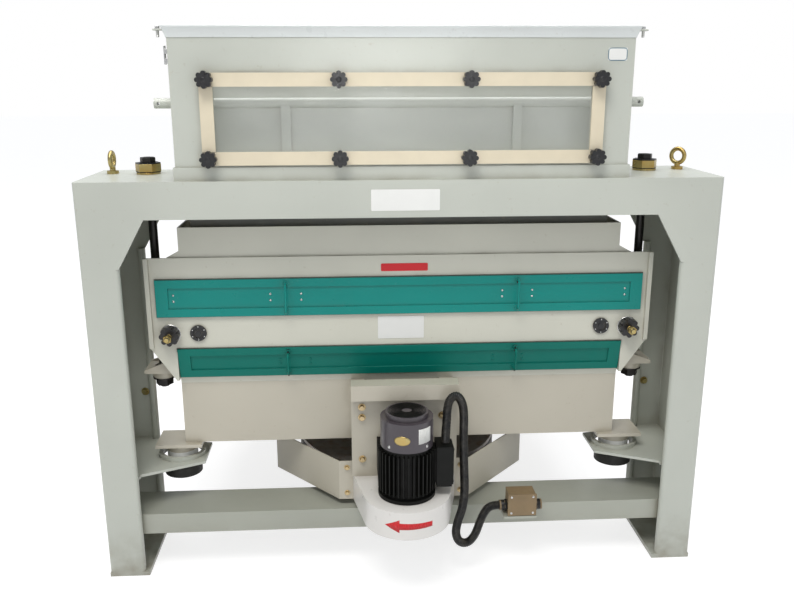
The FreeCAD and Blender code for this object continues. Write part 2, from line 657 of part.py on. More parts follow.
# Three ribs on each side wall, and a lid panel behind the inlet hood
for index in range(3):
    rib_front = FRONT + f" + rib_setback + {index} * rib_pitch"
    rib_back = rib_front + " + rib_width"
    pad(housing, "YZ_Plane", [[
        (rib_front, housing_line("housing_low", rib_front) + " + rib_margin"),
        (rib_front, housing_line("housing_top", rib_front) + " - rib_margin"),
        (rib_back, housing_line("housing_top", rib_back) + " - rib_margin"),
        (rib_back, housing_line("housing_low", rib_back) + " + rib_margin")]],
        "2 * (housing_half_width + rib_depth)", both_ways=True)
lid_front = FRONT + " + lid_setback"
lid_back = housing_back + " - lid_margin"
pad(housing, "YZ_Plane", [[
    (lid_front, housing_line("housing_top", lid_front)),
    (lid_front, housing_line("housing_top", lid_front) + " + lid_thickness"),
    (lid_back, housing_line("housing_top", lid_back) + " + lid_thickness"),
    (lid_back, housing_line("housing_top", lid_back))]],
    "2 * (housing_half_width - lid_margin)", both_ways=True)

# Outlet trough at the back for what stays on the screens, and a spout for what passes
outlets = new_body("rear_outlets")
trough_top = housing_line("housing_top", housing_back) + " - outlet_top_gap"
trough_end = housing_back + " + outlet_reach"
pad(outlets, "YZ_Plane", [[
    (housing_back, trough_top), (trough_end, trough_top + " - outlet_fall"),
    (trough_end, trough_top + " - outlet_fall - outlet_height"),
    (housing_back, trough_top + " - outlet_height")]], "2 * outlet_half_width",
    both_ways=True)
pocket(outlets, "YZ_Plane", [[
    (housing_back + " + outlet_wall", trough_top + " - 2 * outlet_wall"),
    (trough_end, trough_top + " - outlet_fall - outlet_wall"),
    (trough_end, trough_top + " - outlet_fall - outlet_height + outlet_wall"),
    (housing_back + " + outlet_wall", trough_top + " - outlet_height + outlet_wall")]],
    "2 * (outlet_half_width - outlet_wall)", both_ways=True)
spout = new_body("fines_spout_blank")
spout_back = housing_back + " - spout_flange"
spout_front = spout_back + " - spout_depth"
SPOUT_LOW = "(" + housing_line("housing_low", housing_back) + " - spout_drop)"
pad(spout, "XY_Plane", [rectangle(
    "-spout_half_width", spout_front, "spout_half_width", spout_back)],
    "2 * spout_drop", offset=SPOUT_LOW)
pad(spout, "XY_Plane", [rectangle(
    "-spout_half_width - spout_flange", spout_front + " - spout_flange",
    "spout_half_width + spout_flange", spout_back + " + spout_flange")],
    "spout_wall", offset=SPOUT_LOW)
pocket(spout, "XY_Plane", [rectangle(
    "-spout_half_width + spout_wall", spout_front + " + spout_wall",
    "spout_half_width - spout_wall", spout_back + " - spout_wall")],
    "3 * spout_drop", offset=SPOUT_LOW + " + 2 * spout_drop")
fines_spout = cut("fines_spout", spout, [housing])

chassis_front = FRONT + " + chassis_setback"
front_frame = new_body("door_frame")
pad(front_frame, "XY_Plane", [rectangle(
    "-front_half_width", front_y, "front_half_width", housing_front)],
    "housing_top - front_low", offset="front_low")
pad(front_frame, "XY_Plane", [rectangle(
    "-front_half_width", front_y, "front_half_width", front_y + " + lip_thickness")],
    "lip_height", offset="housing_top")
# Below the door frame the front leans back, with a sloping cheek at each end
pad(front_frame, "YZ_Plane", [[
    (front_y, "front_low"), (chassis_front, "housing_low"),
    (housing_front, "housing_low"), (housing_front, "front_low")]],
    "2 * housing_half_width", both_ways=True)
for side in ("", "-"):
    pad(front_frame, "XZ_Plane", [[
        (side + "housing_half_width", "front_low"), (side + "front_half_width", "front_low"),
        (side + "(housing_half_width + cheek_toe)", "cheek_low"),
        (side + "housing_half_width", "cheek_low")]], "cheek_depth",
        offset="-(" + front_y + ")", backwards=True)
    pad(front_frame, "XZ_Plane", [rectangle(
        side + "(front_half_width - end_flange)", "front_low",
        side + "front_half_width", "housing_top + lip_height")], "end_flange_step",
        offset="-(" + front_y + ")")

upper_door = new_body("upper_door")
pad(upper_door, "XZ_Plane", [rectangle(
    "-door_half_width", "door_low", "door_half_width", "door_low + door_height")],
    "door_thickness", offset="-(" + front_y + ")")
pocket(upper_door, "XZ_Plane", [rectangle(
    "-door_half_width + door_border_side", "door_low + door_border",
    "door_half_width - door_border_side", "door_low + door_height - door_border")],
    "door_recess", offset="-(" + front_y + " - door_thickness)")

lean = "(chassis_setback - housing_setback + front_depth) / (front_low - housing_low)"


def lean_y(height):
    """Where the leaning front is at a height."""
    return f"{front_y} + (front_low - ({height})) * {lean}"


low_door_blank = new_body("lower_door_blank")
LOW_DOOR_TOP = "low_door_low + low_door_height"
pad(low_door_blank, "YZ_Plane", [[
    (lean_y("low_door_low"), "low_door_low"), (lean_y(LOW_DOOR_TOP), LOW_DOOR_TOP),
    (lean_y(LOW_DOOR_TOP) + " - door_thickness", LOW_DOOR_TOP),
    (lean_y("low_door_low") + " - door_thickness", "low_door_low")]],
    "2 * low_door_half_width", both_ways=True)

LEAN_ANGLE = f"atan({lean})"
low_door_middle = "low_door_low + low_door_height / 2"
recess_tool = block(
    "low_door_recess", "-low_door_half_width + door_border_side",
    lean_y(low_door_middle) + " - 2 * door_thickness + door_recess",
    "low_door_low + low_door_border",
    "2 * (low_door_half_width - door_border_side)", "door_thickness",
    "low_door_height - 2 * low_door_border")
low_door = cut("lower_door", low_door_blank, [recess_tool])

# Bow handles of bent wire on both doors


def bow_handle(label, spread):
    """A wire handle that stands out towards -Y, with its feet one spread apart."""
    half = f"({spread} / 2 - handle_bend)"
    start = "-handle_reach + handle_bend"
    pieces = [rod(label + "_grip", "handle_radius", f"2 * {half}", "0", "-handle_reach",
                  "-" + half)]
    for end, sign, turn in (("top", "", 90.0), ("low", "-", -90.0)):
        elbow = document.addObject("Part::Torus", f"{label}_elbow_{end}")
        elbow.setExpression("Radius1", bound("handle_bend"))
        elbow.setExpression("Radius2", bound("handle_radius"))
        elbow.Angle3 = 90.0
        elbow.Placement = FreeCAD.Placement(
            FreeCAD.Vector(), FreeCAD.Rotation(FreeCAD.Vector(1, 0, 0), turn).multiply(
                FreeCAD.Rotation(FreeCAD.Vector(0, 1, 0), 90.0)))
        pieces += [
            place(elbow, "0", start, sign + half),
            rod(f"{label}_post_{end}", "handle_radius", f"-({start})", "0", start,
                sign + f"({spread} / 2)", direction=(0, 1, 0)),
            rod(f"{label}_foot_{end}", "handle_foot", "handle_foot_height", "0",
                "-handle_foot_height", sign + f"({spread} / 2)", direction=(0, 1, 0))]
    return fuse(label, pieces)


upper_handle = bow_handle("upper_handle", "(door_height - door_border)")
lower_handle = bow_handle("lower_handle", "(low_door_height - low_door_border)")
fittings = []
for side, sign in (("left", "-"), ("right", "")):
    fittings.append(copy_of(
        "upper_handle_" + side, upper_handle, sign + "handle_place",
        front_y + " - door_thickness", "door_low + door_height / 2"))
    fittings.append(copy_of(
        "lower_handle_" + side, lower_handle, sign + "handle_place",
        lean_y(low_door_middle) + " - door_thickness", low_door_middle, ACROSS,
        LEAN_ANGLE))

# Clamp knobs on studs and round ports in the band between the doors

clamp_knob = fuse("clamp_knob", [
    star_knob("clamp_star", "clamp_core", "clamp_lobe", "clamp_lobe_circle",
              "clamp_height", "clamp_washer", "clamp_washer_height"),
    rod("clamp_stud_bar", "clamp_stud",
        "clamp_washer_height + clamp_height + clamp_stud_reach", "0", "0", "0")])
port_ring = new_body("port_ring")
pad(port_ring, "XY_Plane", [], "port_height", circles=[("0", "0", "port_radius")])
pocket(port_ring, "XY_Plane", [], "port_height / 2", offset="port_height",
       circles=[("0", "0", "port_bore")])
for side, sign in (("left", "-"), ("right", "")):
    fittings.append(copy_of("clamp_knob_" + side, clamp_knob, sign + "clamp_x", front_y,
                            "clamp_z", ACROSS, "90 deg"))
    fittings.append(copy_of("port_ring_" + side, port_ring, sign + "port_x", front_y,
                            "port_z", ACROSS, "90 deg"))

# Inlet hood behind the lip of the door frame, with a gusset at each end

hood = new_body("inlet_hood")
hood_front = front_y + " + lip_thickness"
pad(hood, "XY_Plane", [
    rectangle("-hood_half_width", hood_front, "hood_half_width", hood_back),
    rectangle("-hood_half_width + hood_wall", hood_front + " + hood_wall",
              "hood_half_width - hood_wall", hood_back + " - hood_wall")],
    "hood_height", offset="housing_top")
for side in ("", "-"):
    pad(hood, "XZ_Plane", [[
        (side + "(hood_half_width - hood_wall)", "housing_top"),
        (side + "(hood_half_width + hood_gusset)", "housing_top"),
        (side + "(hood_half_width + hood_gusset)", "housing_top + hood_gusset_toe"),
        (side + "(hood_half_width - hood_wall)", "housing_top + hood_gusset_height")]],
        "hood_wall", offset="-(" + hood_front + ")", backwards=True)

# Drive frame: a ring of plates under the front of the screen box

chassis = new_body("drive_frame")
chassis_back = chassis_front + " + chassis_depth"
pad(chassis, "YZ_Plane", [[
    (chassis_front, "chassis_low"), (chassis_front, "housing_low"),
    (housing_front, "housing_low"),
    (chassis_back, "housing_low - (chassis_setback + chassis_depth - housing_setback) * "
     + FALL),
    (chassis_back, "chassis_low")]], "2 * housing_half_width", both_ways=True)
pocket(chassis, "XY_Plane", [rectangle(
    "-housing_half_width + chassis_wall", chassis_front + " + chassis_wall",
    "housing_half_width - chassis_wall", chassis_back + " - chassis_wall")],
    "housing_low", offset="housing_low")

# Rod bracket on the side of the screen box, with two webs above its plate and a cup
# below it that the rod's nut pulls against

bracket_plate = new_body("rod_bracket_plate")
BRACKET_OUT = ROD_X + " + bracket_tip"
bracket_front = ROD_Y + " - bracket_depth / 2"
bracket_back = ROD_Y + " + bracket_depth / 2"
pad(bracket_plate, "XY_Plane", [rectangle(
    "housing_half_width", bracket_front, BRACKET_OUT, bracket_back)],
    "bracket_thickness", offset="bracket_height")
BRACKET_TOP = "bracket_height + bracket_thickness"
for web_back in (bracket_front + " + bracket_thickness", bracket_back):
    pad(bracket_plate, "XZ_Plane", [[
        ("housing_half_width", "bracket_height"), (BRACKET_OUT, "bracket_height"),
        (BRACKET_OUT, BRACKET_TOP), ("housing_half_width", BRACKET_TOP + " + bracket_web")]],
        "bracket_thickness", offset="-(" + web_back + ")")
CUP_LOW = "(bracket_height - cup_height)"
cup = document.addObject("Part::Cone", "rod_cup")
cup.setExpression("Radius1", bound("cup_low_radius"))
cup.setExpression("Radius2", bound("cup_radius"))
cup.setExpression("Height", bound("cup_height"))
place(cup, ROD_X, ROD_Y, CUP_LOW)
rod_bracket = cut("front_right_rod_bracket", fuse("rod_bracket_blank", [bracket_plate, cup]), [
    rod("rod_cup_bore", ROD_HOLE, "cup_height + bracket_thickness", ROD_X, ROD_Y, CUP_LOW)])

# Hanger rod with its washers and nuts, seated a hair clear of the plates it slides on

ROD_TOP = "frame_height + rod_top_reach"
SEAT_TOP = "frame_height + seat_gap"
SEAT_LOW = CUP_LOW + " - seat_gap"
hanger_rod = fuse("front_right_hanger_rod", [
    rod("rod_bar", "rod_radius", ROD_TOP + " - rod_low_end", ROD_X, ROD_Y, "rod_low_end"),
    rod("rod_top_washer", "washer_radius", "washer_height", ROD_X, ROD_Y, SEAT_TOP),
    hexagon("rod_top_nut", "nut_width", "nut_height", ROD_X, ROD_Y,
            SEAT_TOP + " + washer_height"),
    hexagon("rod_lock_nut", "lock_nut_width", "lock_nut_height", ROD_X, ROD_Y,
            SEAT_TOP + " + washer_height + nut_height"),
    rod("rod_low_washer", "washer_radius", "low_washer_height", ROD_X, ROD_Y,
        SEAT_LOW + " - low_washer_height"),
    hexagon("rod_low_nut", "low_nut_width", "low_nut_height", ROD_X, ROD_Y,
            SEAT_LOW + " - low_washer_height - low_nut_height")])

# Limit posts: a foot plate below the drive frame with a post through the ring

FOOT_LOW = "chassis_low - limit_foot"
BUFFER_TOP = "limit_height - limit_gap_below"
limit_foot_front = limit_y + " - buffer_radius"


def limit_post(label, extra):
    """A foot plate and the post that stands down from it into the ring."""
    return fuse(label, [
        block(label + "_foot", "limit_x - buffer_radius - ring_height", limit_foot_front,
              FOOT_LOW, "2 * (buffer_radius + ring_height)", "2 * buffer_radius",
              "limit_foot"),
        rod(label + "_post", "post_radius", FOOT_LOW + " - (" + BUFFER_TOP + ")",
            "limit_x", limit_y, BUFFER_TOP)] + extra)


front_post = limit_post("front_right_limit_post", [])
rear_leg_height = ("housing_low - (frame_length - limit_setback + buffer_radius"
                   " - housing_setback) * " + FALL + " - chassis_low")
rear_post_here = limit_post("rear_post_here", [block(
    "rear_post_leg", "housing_half_width - 2 * bracket_thickness", limit_foot_front,
    "chassis_low", "2 * bracket_thickness", "2 * buffer_radius", rear_leg_height)])
front_buffer = rod("front_right_buffer", "buffer_radius", "buffer_height", "limit_x",
                   limit_y, BUFFER_TOP + " - buffer_height")

# Drive: motor on its plate, belt cover, two wing guards and the flywheel

MOTOR_Y = FRONT + " + motor_setback"
MOTOR_LOW = "cover_low + cover_height"
motor_frame = new_body("motor_frame")
pad(motor_frame, "XY_Plane", [], "motor_height", offset=MOTOR_LOW, centre=("0", MOTOR_Y),
    circles=[("0", "0", "motor_core")])
pad(motor_frame, "XY_Plane", [], "motor_flange", offset=MOTOR_LOW, centre=("0", MOTOR_Y),
    circles=[("0", "0", "motor_radius")])
fin = pad(motor_frame, "XY_Plane", [rectangle(
    "motor_core - fin_thickness", "-fin_thickness / 2", "motor_radius",
    "fin_thickness / 2")], "motor_height - 3 * motor_flange",
    offset=MOTOR_LOW + " + 2 * motor_flange", centre=("0", MOTOR_Y))
polar(motor_frame, fin, "fin_count")
motor_pieces = [motor_frame, rod(
    "motor_shaft", "motor_shaft_radius", MOTOR_LOW + " - wheel_low", "0", MOTOR_Y,
    "wheel_low"), block(
    "terminal_base", "0", MOTOR_Y + " - terminal_depth / 2 + motor_flange",
    "terminal_low + motor_flange", "motor_radius", "terminal_depth - 2 * motor_flange",
    "terminal_height - 2 * motor_flange")]
for name, start in (("left", "-motor_radius"), ("right", "motor_radius - motor_foot_width")):
    motor_pieces.append(block(
        "motor_foot_" + name, start, MOTOR_Y, MOTOR_LOW + " + motor_foot_gap",
        "motor_foot_width", "motor_plate_setback - motor_setback", "motor_foot_height"))
motor = fuse("motor_body", motor_pieces)
FAN_LOW = MOTOR_LOW + " + motor_height"
fan_cover = new_body("motor_fan_cover")
pad(fan_cover, "XY_Plane", [], "fan_height - fan_crown", offset=FAN_LOW,
    centre=("0", MOTOR_Y), circles=[("0", "0", "fan_radius")])
pad(fan_cover, "XY_Plane", [], "fan_height", offset=FAN_LOW, centre=("0", MOTOR_Y),
    circles=[("0", "0", "fan_radius - fan_crown")])
slot = pocket(fan_cover, "XY_Plane", [rectangle(
    "fan_crown", "-grille_slot / 2", "fan_radius - 2 * fan_crown", "grille_slot / 2")],
    "fan_crown", offset=FAN_LOW + " + fan_height", centre=("0", MOTOR_Y))
polar(fan_cover, slot, "grille_count")
terminal_box = block(
    "terminal_box", "motor_radius", MOTOR_Y + " - terminal_depth / 2",
    "terminal_low", "terminal_width", "terminal_depth", "terminal_height")
plate_front = FRONT + " + motor_plate_setback"
plate_back = plate_front + " + motor_plate_thickness"
motor_plate = fuse("motor_plate", [
    block("motor_plate_sheet", "-motor_plate_half", plate_front, MOTOR_LOW,
          "2 * motor_plate_half", "motor_plate_thickness",
          "motor_plate_high - (" + MOTOR_LOW + ")"),
    block("motor_plate_hook", "-motor_plate_half", plate_front + " - hook_reach",
          "motor_plate_high - hook_height", "2 * motor_plate_half", "hook_reach",
          "hook_height")] + [
    block(f"motor_plate_arm_{name}", start, plate_back, "chassis_low", "arm_width",
          "chassis_setback - motor_plate_setback - motor_plate_thickness",
          "housing_low - chassis_low")
    for name, start in (("left", "-motor_plate_half"),
                        ("right", "motor_plate_half - arm_width"))])

cover_back_y = FRONT + " + cover_back"
cover_reach = "(cover_back - motor_setback)"


def nose_outline(radius, half_width):
    """The straight-sided part of the belt cover, tangent to its round nose."""
    turn = (f"(atan({cover_reach} / {half_width})"
            f" - acos({radius} / sqrt({cover_reach}^2 + {half_width}^2)))")
    x = f"{radius} * cos({turn})"
    y = f"{MOTOR_Y} + {radius} * sin({turn})"
    return [("-" + half_width, cover_back_y), ("-" + x, y), (x, y),
            (half_width, cover_back_y)]


belt_cover = new_body("belt_cover")
pad(belt_cover, "XY_Plane", [nose_outline("nose_radius", "cover_half_width")],
    "cover_height", offset="cover_low")
pad(belt_cover, "XY_Plane", [], "cover_height", offset="cover_low",
    circles=[("0", MOTOR_Y, "nose_radius")])
cover_roof = "cover_low + cover_height - cover_wall"
pocket(belt_cover, "XY_Plane", [nose_outline(
    "(nose_radius - cover_wall)", "(cover_half_width - cover_wall)")],
    "cover_height", offset=cover_roof)
pocket(belt_cover, "XY_Plane", [], "cover_height", offset=cover_roof,
       circles=[("0", MOTOR_Y, "nose_radius - cover_wall")])
pocket(belt_cover, "XY_Plane", [], "2 * cover_wall", offset="cover_low + cover_height",
       circles=[("0", MOTOR_Y, "motor_shaft_radius + sway")])

right_wing = new_body("right_wing_guard")
wing_x = "cover_half_width + wing_flange"
pad(right_wing, "XY_Plane", [[
    ("cover_half_width - cover_wall", cover_back_y), (wing_x, cover_back_y),
    (wing_x + " + wing_reach_x", cover_back_y + " + wing_reach_y"),
    (wing_x + " + wing_reach_x - wing_thickness",
     cover_back_y + " + wing_reach_y + wing_thickness"),
    (wing_x + " - wing_thickness / 2", cover_back_y + " + wing_thickness"),
    ("cover_half_width - cover_wall", cover_back_y + " + wing_thickness")]],
    "wing_height", offset="cover_low")

WHEEL_Y = FRONT + " + wheel_setback"
bearing_low = "wheel_low + wheel_height + bearing_gap"
drive_bearing = cut("drive_bearing", fuse("bearing_blank", [
    rod("bearing_housing", "bearing_radius", "housing_low - (" + bearing_low + ")", "0",
        WHEEL_Y, bearing_low),
    rod("bearing_plate", "bearing_flange", "bearing_flange_height", "0", WHEEL_Y,
        "housing_low - bearing_flange_height"),
    rod("bearing_shaft", "wheel_bore - gate_running_gap",
        bearing_low + " - wheel_low + bearing_gap", "0", WHEEL_Y,
        "wheel_low - bearing_gap")]), [housing])


def v_grooves(body, radius):
    """Two V grooves in a wheel whose body was made round the sketch origin."""
    for name, sign in (("low", "-"), ("high", "+")):
        groove(body, [
            (radius, "-groove_half"), (radius, "groove_half"),
            (f"{radius} - groove_depth", "groove_floor"),
            (f"{radius} - groove_depth", "-groove_floor")],
            ("0", f"wheel_height / 2 {sign} groove_pitch / 2"))


wheel = new_body("wheel_casting")
pad(wheel, "XY_Plane", [], "wheel_height",
    circles=[("0", "0", "wheel_radius"), ("0", "0", "wheel_radius - wheel_rim")])
pad(wheel, "XY_Plane", [], "wheel_web", offset="(wheel_height - wheel_web) / 2",
    circles=[("0", "0", "wheel_radius - wheel_rim / 2")])
pad(wheel, "XY_Plane", [], "wheel_height", circles=[("0", "0", "wheel_hub")])
v_grooves(wheel, "wheel_radius")
hole = pocket(wheel, "XY_Plane", [], "wheel_height", offset="wheel_height",
              circles=[("wheel_hole_circle", "0", "wheel_hole_radius")])
polar(wheel, hole, "wheel_holes")
pocket(wheel, "XY_Plane", [], "2 * wheel_height", offset="wheel_height",
       circles=[("0", "0", "wheel_bore")])
sector = rod("weight_sector", "weight_outer", "(wheel_height - wheel_web) / 2", "0", "0",
             "(wheel_height + wheel_web) / 2")
sector.setExpression("Angle", bound("weight_angle * 1 deg"))
weight = cut("balance_weight", sector, [rod(
    "weight_core", "weight_inner", "wheel_height", "0", "0", "0")])
flywheel = document.addObject("App::Link", "flywheel")
flywheel.LinkedObject = fuse("flywheel_at_origin", [wheel, weight])
place(flywheel, "0", WHEEL_Y, "wheel_low")

# Pulley on the motor's shaft, and the two belts round it and the flywheel

pulley_blank = new_body("pulley_at_origin")
pulley_low = "(wheel_height - pulley_height) / 2"
pad(pulley_blank, "XY_Plane", [], "pulley_height", offset=pulley_low,
    circles=[("0", "0", "pulley_radius")])
v_grooves(pulley_blank, "pulley_radius")
pocket(pulley_blank, "XY_Plane", [], "2 * pulley_height", offset="wheel_height",
       circles=[("0", "0", "motor_shaft_radius + pulley_running_gap")])
motor_pulley = document.addObject("App::Link", "motor_pulley")
motor_pulley.LinkedObject = pulley_blank
place(motor_pulley, "0", MOTOR_Y, "wheel_low")


def belt_loop(label, shrink, low, height):
    """What a belt encloses: two discs and the outline of their common tangents."""
    wheel_r = f"(wheel_radius - {shrink})"
    pulley_r = f"(pulley_radius - {shrink})"
    sine = "((wheel_radius - pulley_radius) / (wheel_setback - motor_setback))"
    cosine = f"sqrt(1 - {sine}^2)"
    web = new_body(label + "_web")
    pad(web, "XY_Plane", [[
        (f"-{wheel_r} * {cosine}", f"{WHEEL_Y} - {wheel_r} * {sine}"),
        (f"-{pulley_r} * {cosine}", f"{MOTOR_Y} - {pulley_r} * {sine}"),
        (f"{pulley_r} * {cosine}", f"{MOTOR_Y} - {pulley_r} * {sine}"),
        (f"{wheel_r} * {cosine}", f"{WHEEL_Y} - {wheel_r} * {sine}")]], height, offset=low)
    return fuse(label, [
        web, rod(label + "_wheel_disc", wheel_r, height, "0", WHEEL_Y, low),
        rod(label + "_pulley_disc", pulley_r, height, "0", MOTOR_Y, low)])


belts = []
BELT_HEIGHT = "2 * (groove_floor - belt_gap)"
for name, sign in (("low", "-"), ("high", "+")):
    belt_low = (f"wheel_low + wheel_height / 2 {sign} groove_pitch / 2"
                " - groove_floor + belt_gap")
    belt_rim = belt_loop("belt_rim_" + name, "0", belt_low, BELT_HEIGHT)
    belt_core = belt_loop("belt_core_" + name, "(groove_depth - belt_gap)", belt_low,
                          BELT_HEIGHT)
    belts.append(cut("belt_" + name, belt_rim, [belt_core]))

# Junction box on a shelf at the front of the cross tube

shelf_depth = "junction_depth + junction_gap"
front_tube = fuse("front_cross_tube", [cross_tube, block(
    "junction_shelf", "junction_x - junction_shelf_reach",
    tube_front + " - (" + shelf_depth + ")", "junction_low - shelf_thickness",
    "junction_width + junction_shelf_reach + junction_gap", shelf_depth + " + tube_wall",
    "shelf_thickness")])
GLAND_LEVEL = "junction_low + junction_height * gland_rise"
gland_y = tube_front + " - (junction_depth + junction_gap) / 2"
junction_box = fuse("junction_box", [
    block("junction_case", "junction_x", tube_front + " - junction_depth", "junction_low",
          "junction_width", "junction_depth - junction_gap", "junction_height"),
    block("junction_cover", "junction_x - junction_lid / 2",
          tube_front + " - junction_depth - junction_lid",
          "junction_low + junction_lid / 2", "junction_width + junction_lid", "junction_lid",
          "junction_height"),
    rod("junction_gland", "gland_radius", "2 * gland_length + junction_width",
        "junction_x - gland_length", gland_y, GLAND_LEVEL, direction=(1, 0, 0))])

# Conduit from the terminal box to the junction box, at its real length: its route is
# a list of points, rounded by arcs at every turn. Distances along are from the front
# portal's face and heights from the underside of the belt cover.

CONDUIT_RADIUS = number("conduit_radius")
DRIVE_LOW = number("cover_low")
GLAND_Z = number(GLAND_LEVEL) - DRIVE_LOW
GLAND_Y = number("tube_setback - (junction_depth + junction_gap) / 2")
GLAND_X = number("junction_x - gland_length")
TERMINAL_X = number("motor_radius + terminal_gland")
TERMINAL_TOP = number("terminal_low + terminal_height + seat_gap") - DRIVE_LOW
TERMINAL_Y = number("motor_setback")
CONDUIT_ROUTE = [
    (TERMINAL_X, TERMINAL_Y, TERMINAL_TOP), (TERMINAL_X, TERMINAL_Y, 252.0),
    (109.0, -66.0, 282.0), (111.0, -56.0, 314.0), (118.0, -47.0, 342.0),
    (138.0, -44.0, 353.0), (154.0, -44.0, 332.0), (160.0, -43.0, 292.0),
    (159.0, -42.0, 230.0), (162.0, -42.0, 150.0), (166.0, -44.0, 70.0),
    (161.0, -47.0, 12.0), (146.0, -50.0, -30.0), (140.0, -52.0, -66.0),
    (152.0, -52.0, -95.0), (178.0, -48.0, -100.0), (199.0, -41.0, -78.0),
    (211.0, -32.0, -49.0), (225.0, -20.0, -23.0), (246.0, GLAND_Y, GLAND_Z),
    (GLAND_X, GLAND_Y, GLAND_Z)]


def rounded_path(points, share=0.45):
    """Straight runs through the points, joined by arcs that meet them smoothly."""
    edges = []
    start = points[0]
    radii = []
    for before, corner, after in zip(points, points[1:], points[2:]):
        towards = (before - corner).normalize()
        away = (after - corner).normalize()
        half_turn = (math.pi - towards.getAngle(away)) / 2
        run = min(before.distanceToPoint(corner), after.distanceToPoint(corner))
        trim = share * run
        radii.append(trim / math.tan(half_turn))
        first = corner + towards * trim
        last = corner + away * trim
        bisector = (towards + away).normalize()
        rise = radii[-1] / math.cos(half_turn) - radii[-1]
        edges.append(Part.LineSegment(start, first).toShape())
        edges.append(Part.Arc(first, corner + bisector * rise, last).toShape())
        start = last
    edges.append(Part.LineSegment(start, points[-1]).toShape())
    return Part.Wire(edges), radii


front_face = number(FRONT)
conduit_path, conduit_radii = rounded_path(
    [FreeCAD.Vector(x, y + front_face, z + DRIVE_LOW) for x, y, z in CONDUIT_ROUTE])
conduit_section = Part.Wire(Part.Circle(
    conduit_path.OrderedVertexes[0].Point, FreeCAD.Vector(0, 0, 1),
    CONDUIT_RADIUS).toShape())
conduit = document.addObject("Part::Feature", "conduit")
conduit.Shape = conduit_path.makePipeShell([conduit_section], True, False)
conduit.Placement = FreeCAD.Placement()
print("conduit length", round(conduit_path.Length), "radii",
      [round(radius) for radius in conduit_radii])
print("conduit volume over section times length", round(
    conduit.Shape.Volume / (math.pi * CONDUIT_RADIUS ** 2 * conduit_path.Length), 4))

# Lifting eye on the beam


def lifting_eye(label, turn):
    """A ring on a neck and a collar, turned about the upright."""
    ring = document.addObject("Part::Torus", label + "_ring")
    ring.setExpression("Radius1", bound("eye_ring"))
    ring.setExpression("Radius2", bound("eye_wire"))
    ring.Placement = FreeCAD.Placement(
        FreeCAD.Vector(), FreeCAD.Rotation(FreeCAD.Vector(0, 0, 1), turn).multiply(
            FreeCAD.Rotation(FreeCAD.Vector(0, 1, 0), 90.0)))
    eye_y = FRONT + " + eye_setback"
    return fuse(label, [
        rod(label + "_collar", "eye_collar", "eye_collar_height", "eye_x", eye_y,
            "frame_height"),
        rod(label + "_neck", "eye_neck", "eye_collar_height + eye_neck_height", "eye_x",
            eye_y, "frame_height"),
        place(ring, "eye_x", eye_y,
              "frame_height + eye_collar_height + eye_neck_height + eye_ring")])


EYE_TURN = 40.0
right_eye = lifting_eye("front_right_eye", EYE_TURN)
plain_eye = lifting_eye("plain_eye", 0.0)
left_eye = mirrored("front_left_eye", plain_eye, ACROSS)

# Copies on the other side and at the other portal


def four(name, source, rear_source=None):
    """A piece at the front right, and its copies at the other three corners."""
    rear_right = mirrored("rear_right_" + name, rear_source or source, ALONG)
    return [source, mirrored("front_left_" + name, source, ACROSS), rear_right,
            mirrored("rear_left_" + name, rear_right, ACROSS)]


def group(label, pieces):
    """Like pieces of one body that don't touch, in one sub-part."""
    together = document.addObject("Part::Compound", label)
    together.Links = pieces
    return together


NODES = [front_beam, rear_beam, feed_box, rim, window_pane, window_frame, window_knobs,
         feed_chute, gate_shaft, gate_flap, housing, front_frame, upper_door, low_door,
         hood, chassis, motor, fan_cover, terminal_box, motor_plate, belt_cover,
         drive_bearing, flywheel, motor_pulley, junction_box, conduit, front_tube,
         mirrored("rear_cross_tube", cross_tube, ALONG)]
NODES += four("leg", right_leg)
NODES += four("hanger_rod", hanger_rod)
NODES.append(group("limit_brackets", four("limit_bracket", limit_bracket)))
NODES.append(group("rod_brackets", four("rod_bracket", rod_bracket)))
NODES.append(group("limit_posts", four("limit_post", front_post, rear_post_here)))
NODES.append(group("limit_buffers", four("buffer", front_buffer)))
NODES.append(group("door_fittings", fittings))
NODES.append(group("rear_chutes", [outlets, fines_spout]))
NODES.append(group("lifting_eyes", [
    right_eye, left_eye, mirrored("rear_right_eye", right_eye, ALONG),
    mirrored("rear_left_eye", left_eye, ALONG)]))
NODES.append(group("drive_belts", belts))
NODES.append(group("wing_guards", [
    right_wing, mirrored("left_wing_guard", right_wing, ACROSS)]))

document.recompute()
for thing in document.Objects:
    if "Invalid" in thing.State or "Error" in thing.State:
        raise RuntimeError(thing.Label + " failed: " + str(thing.State))
os.makedirs("parts", exist_ok=True)
for node in NODES:
    if node.Shape.isNull() or not node.Shape.isValid():
        raise RuntimeError(node.Label + " has no valid shape")
    node.Shape.exportStep("parts/" + node.Label + ".step")
print(len(NODES), "pieces written")
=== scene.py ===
import bmesh
import bpy
import math
from mathutils import Matrix, Vector


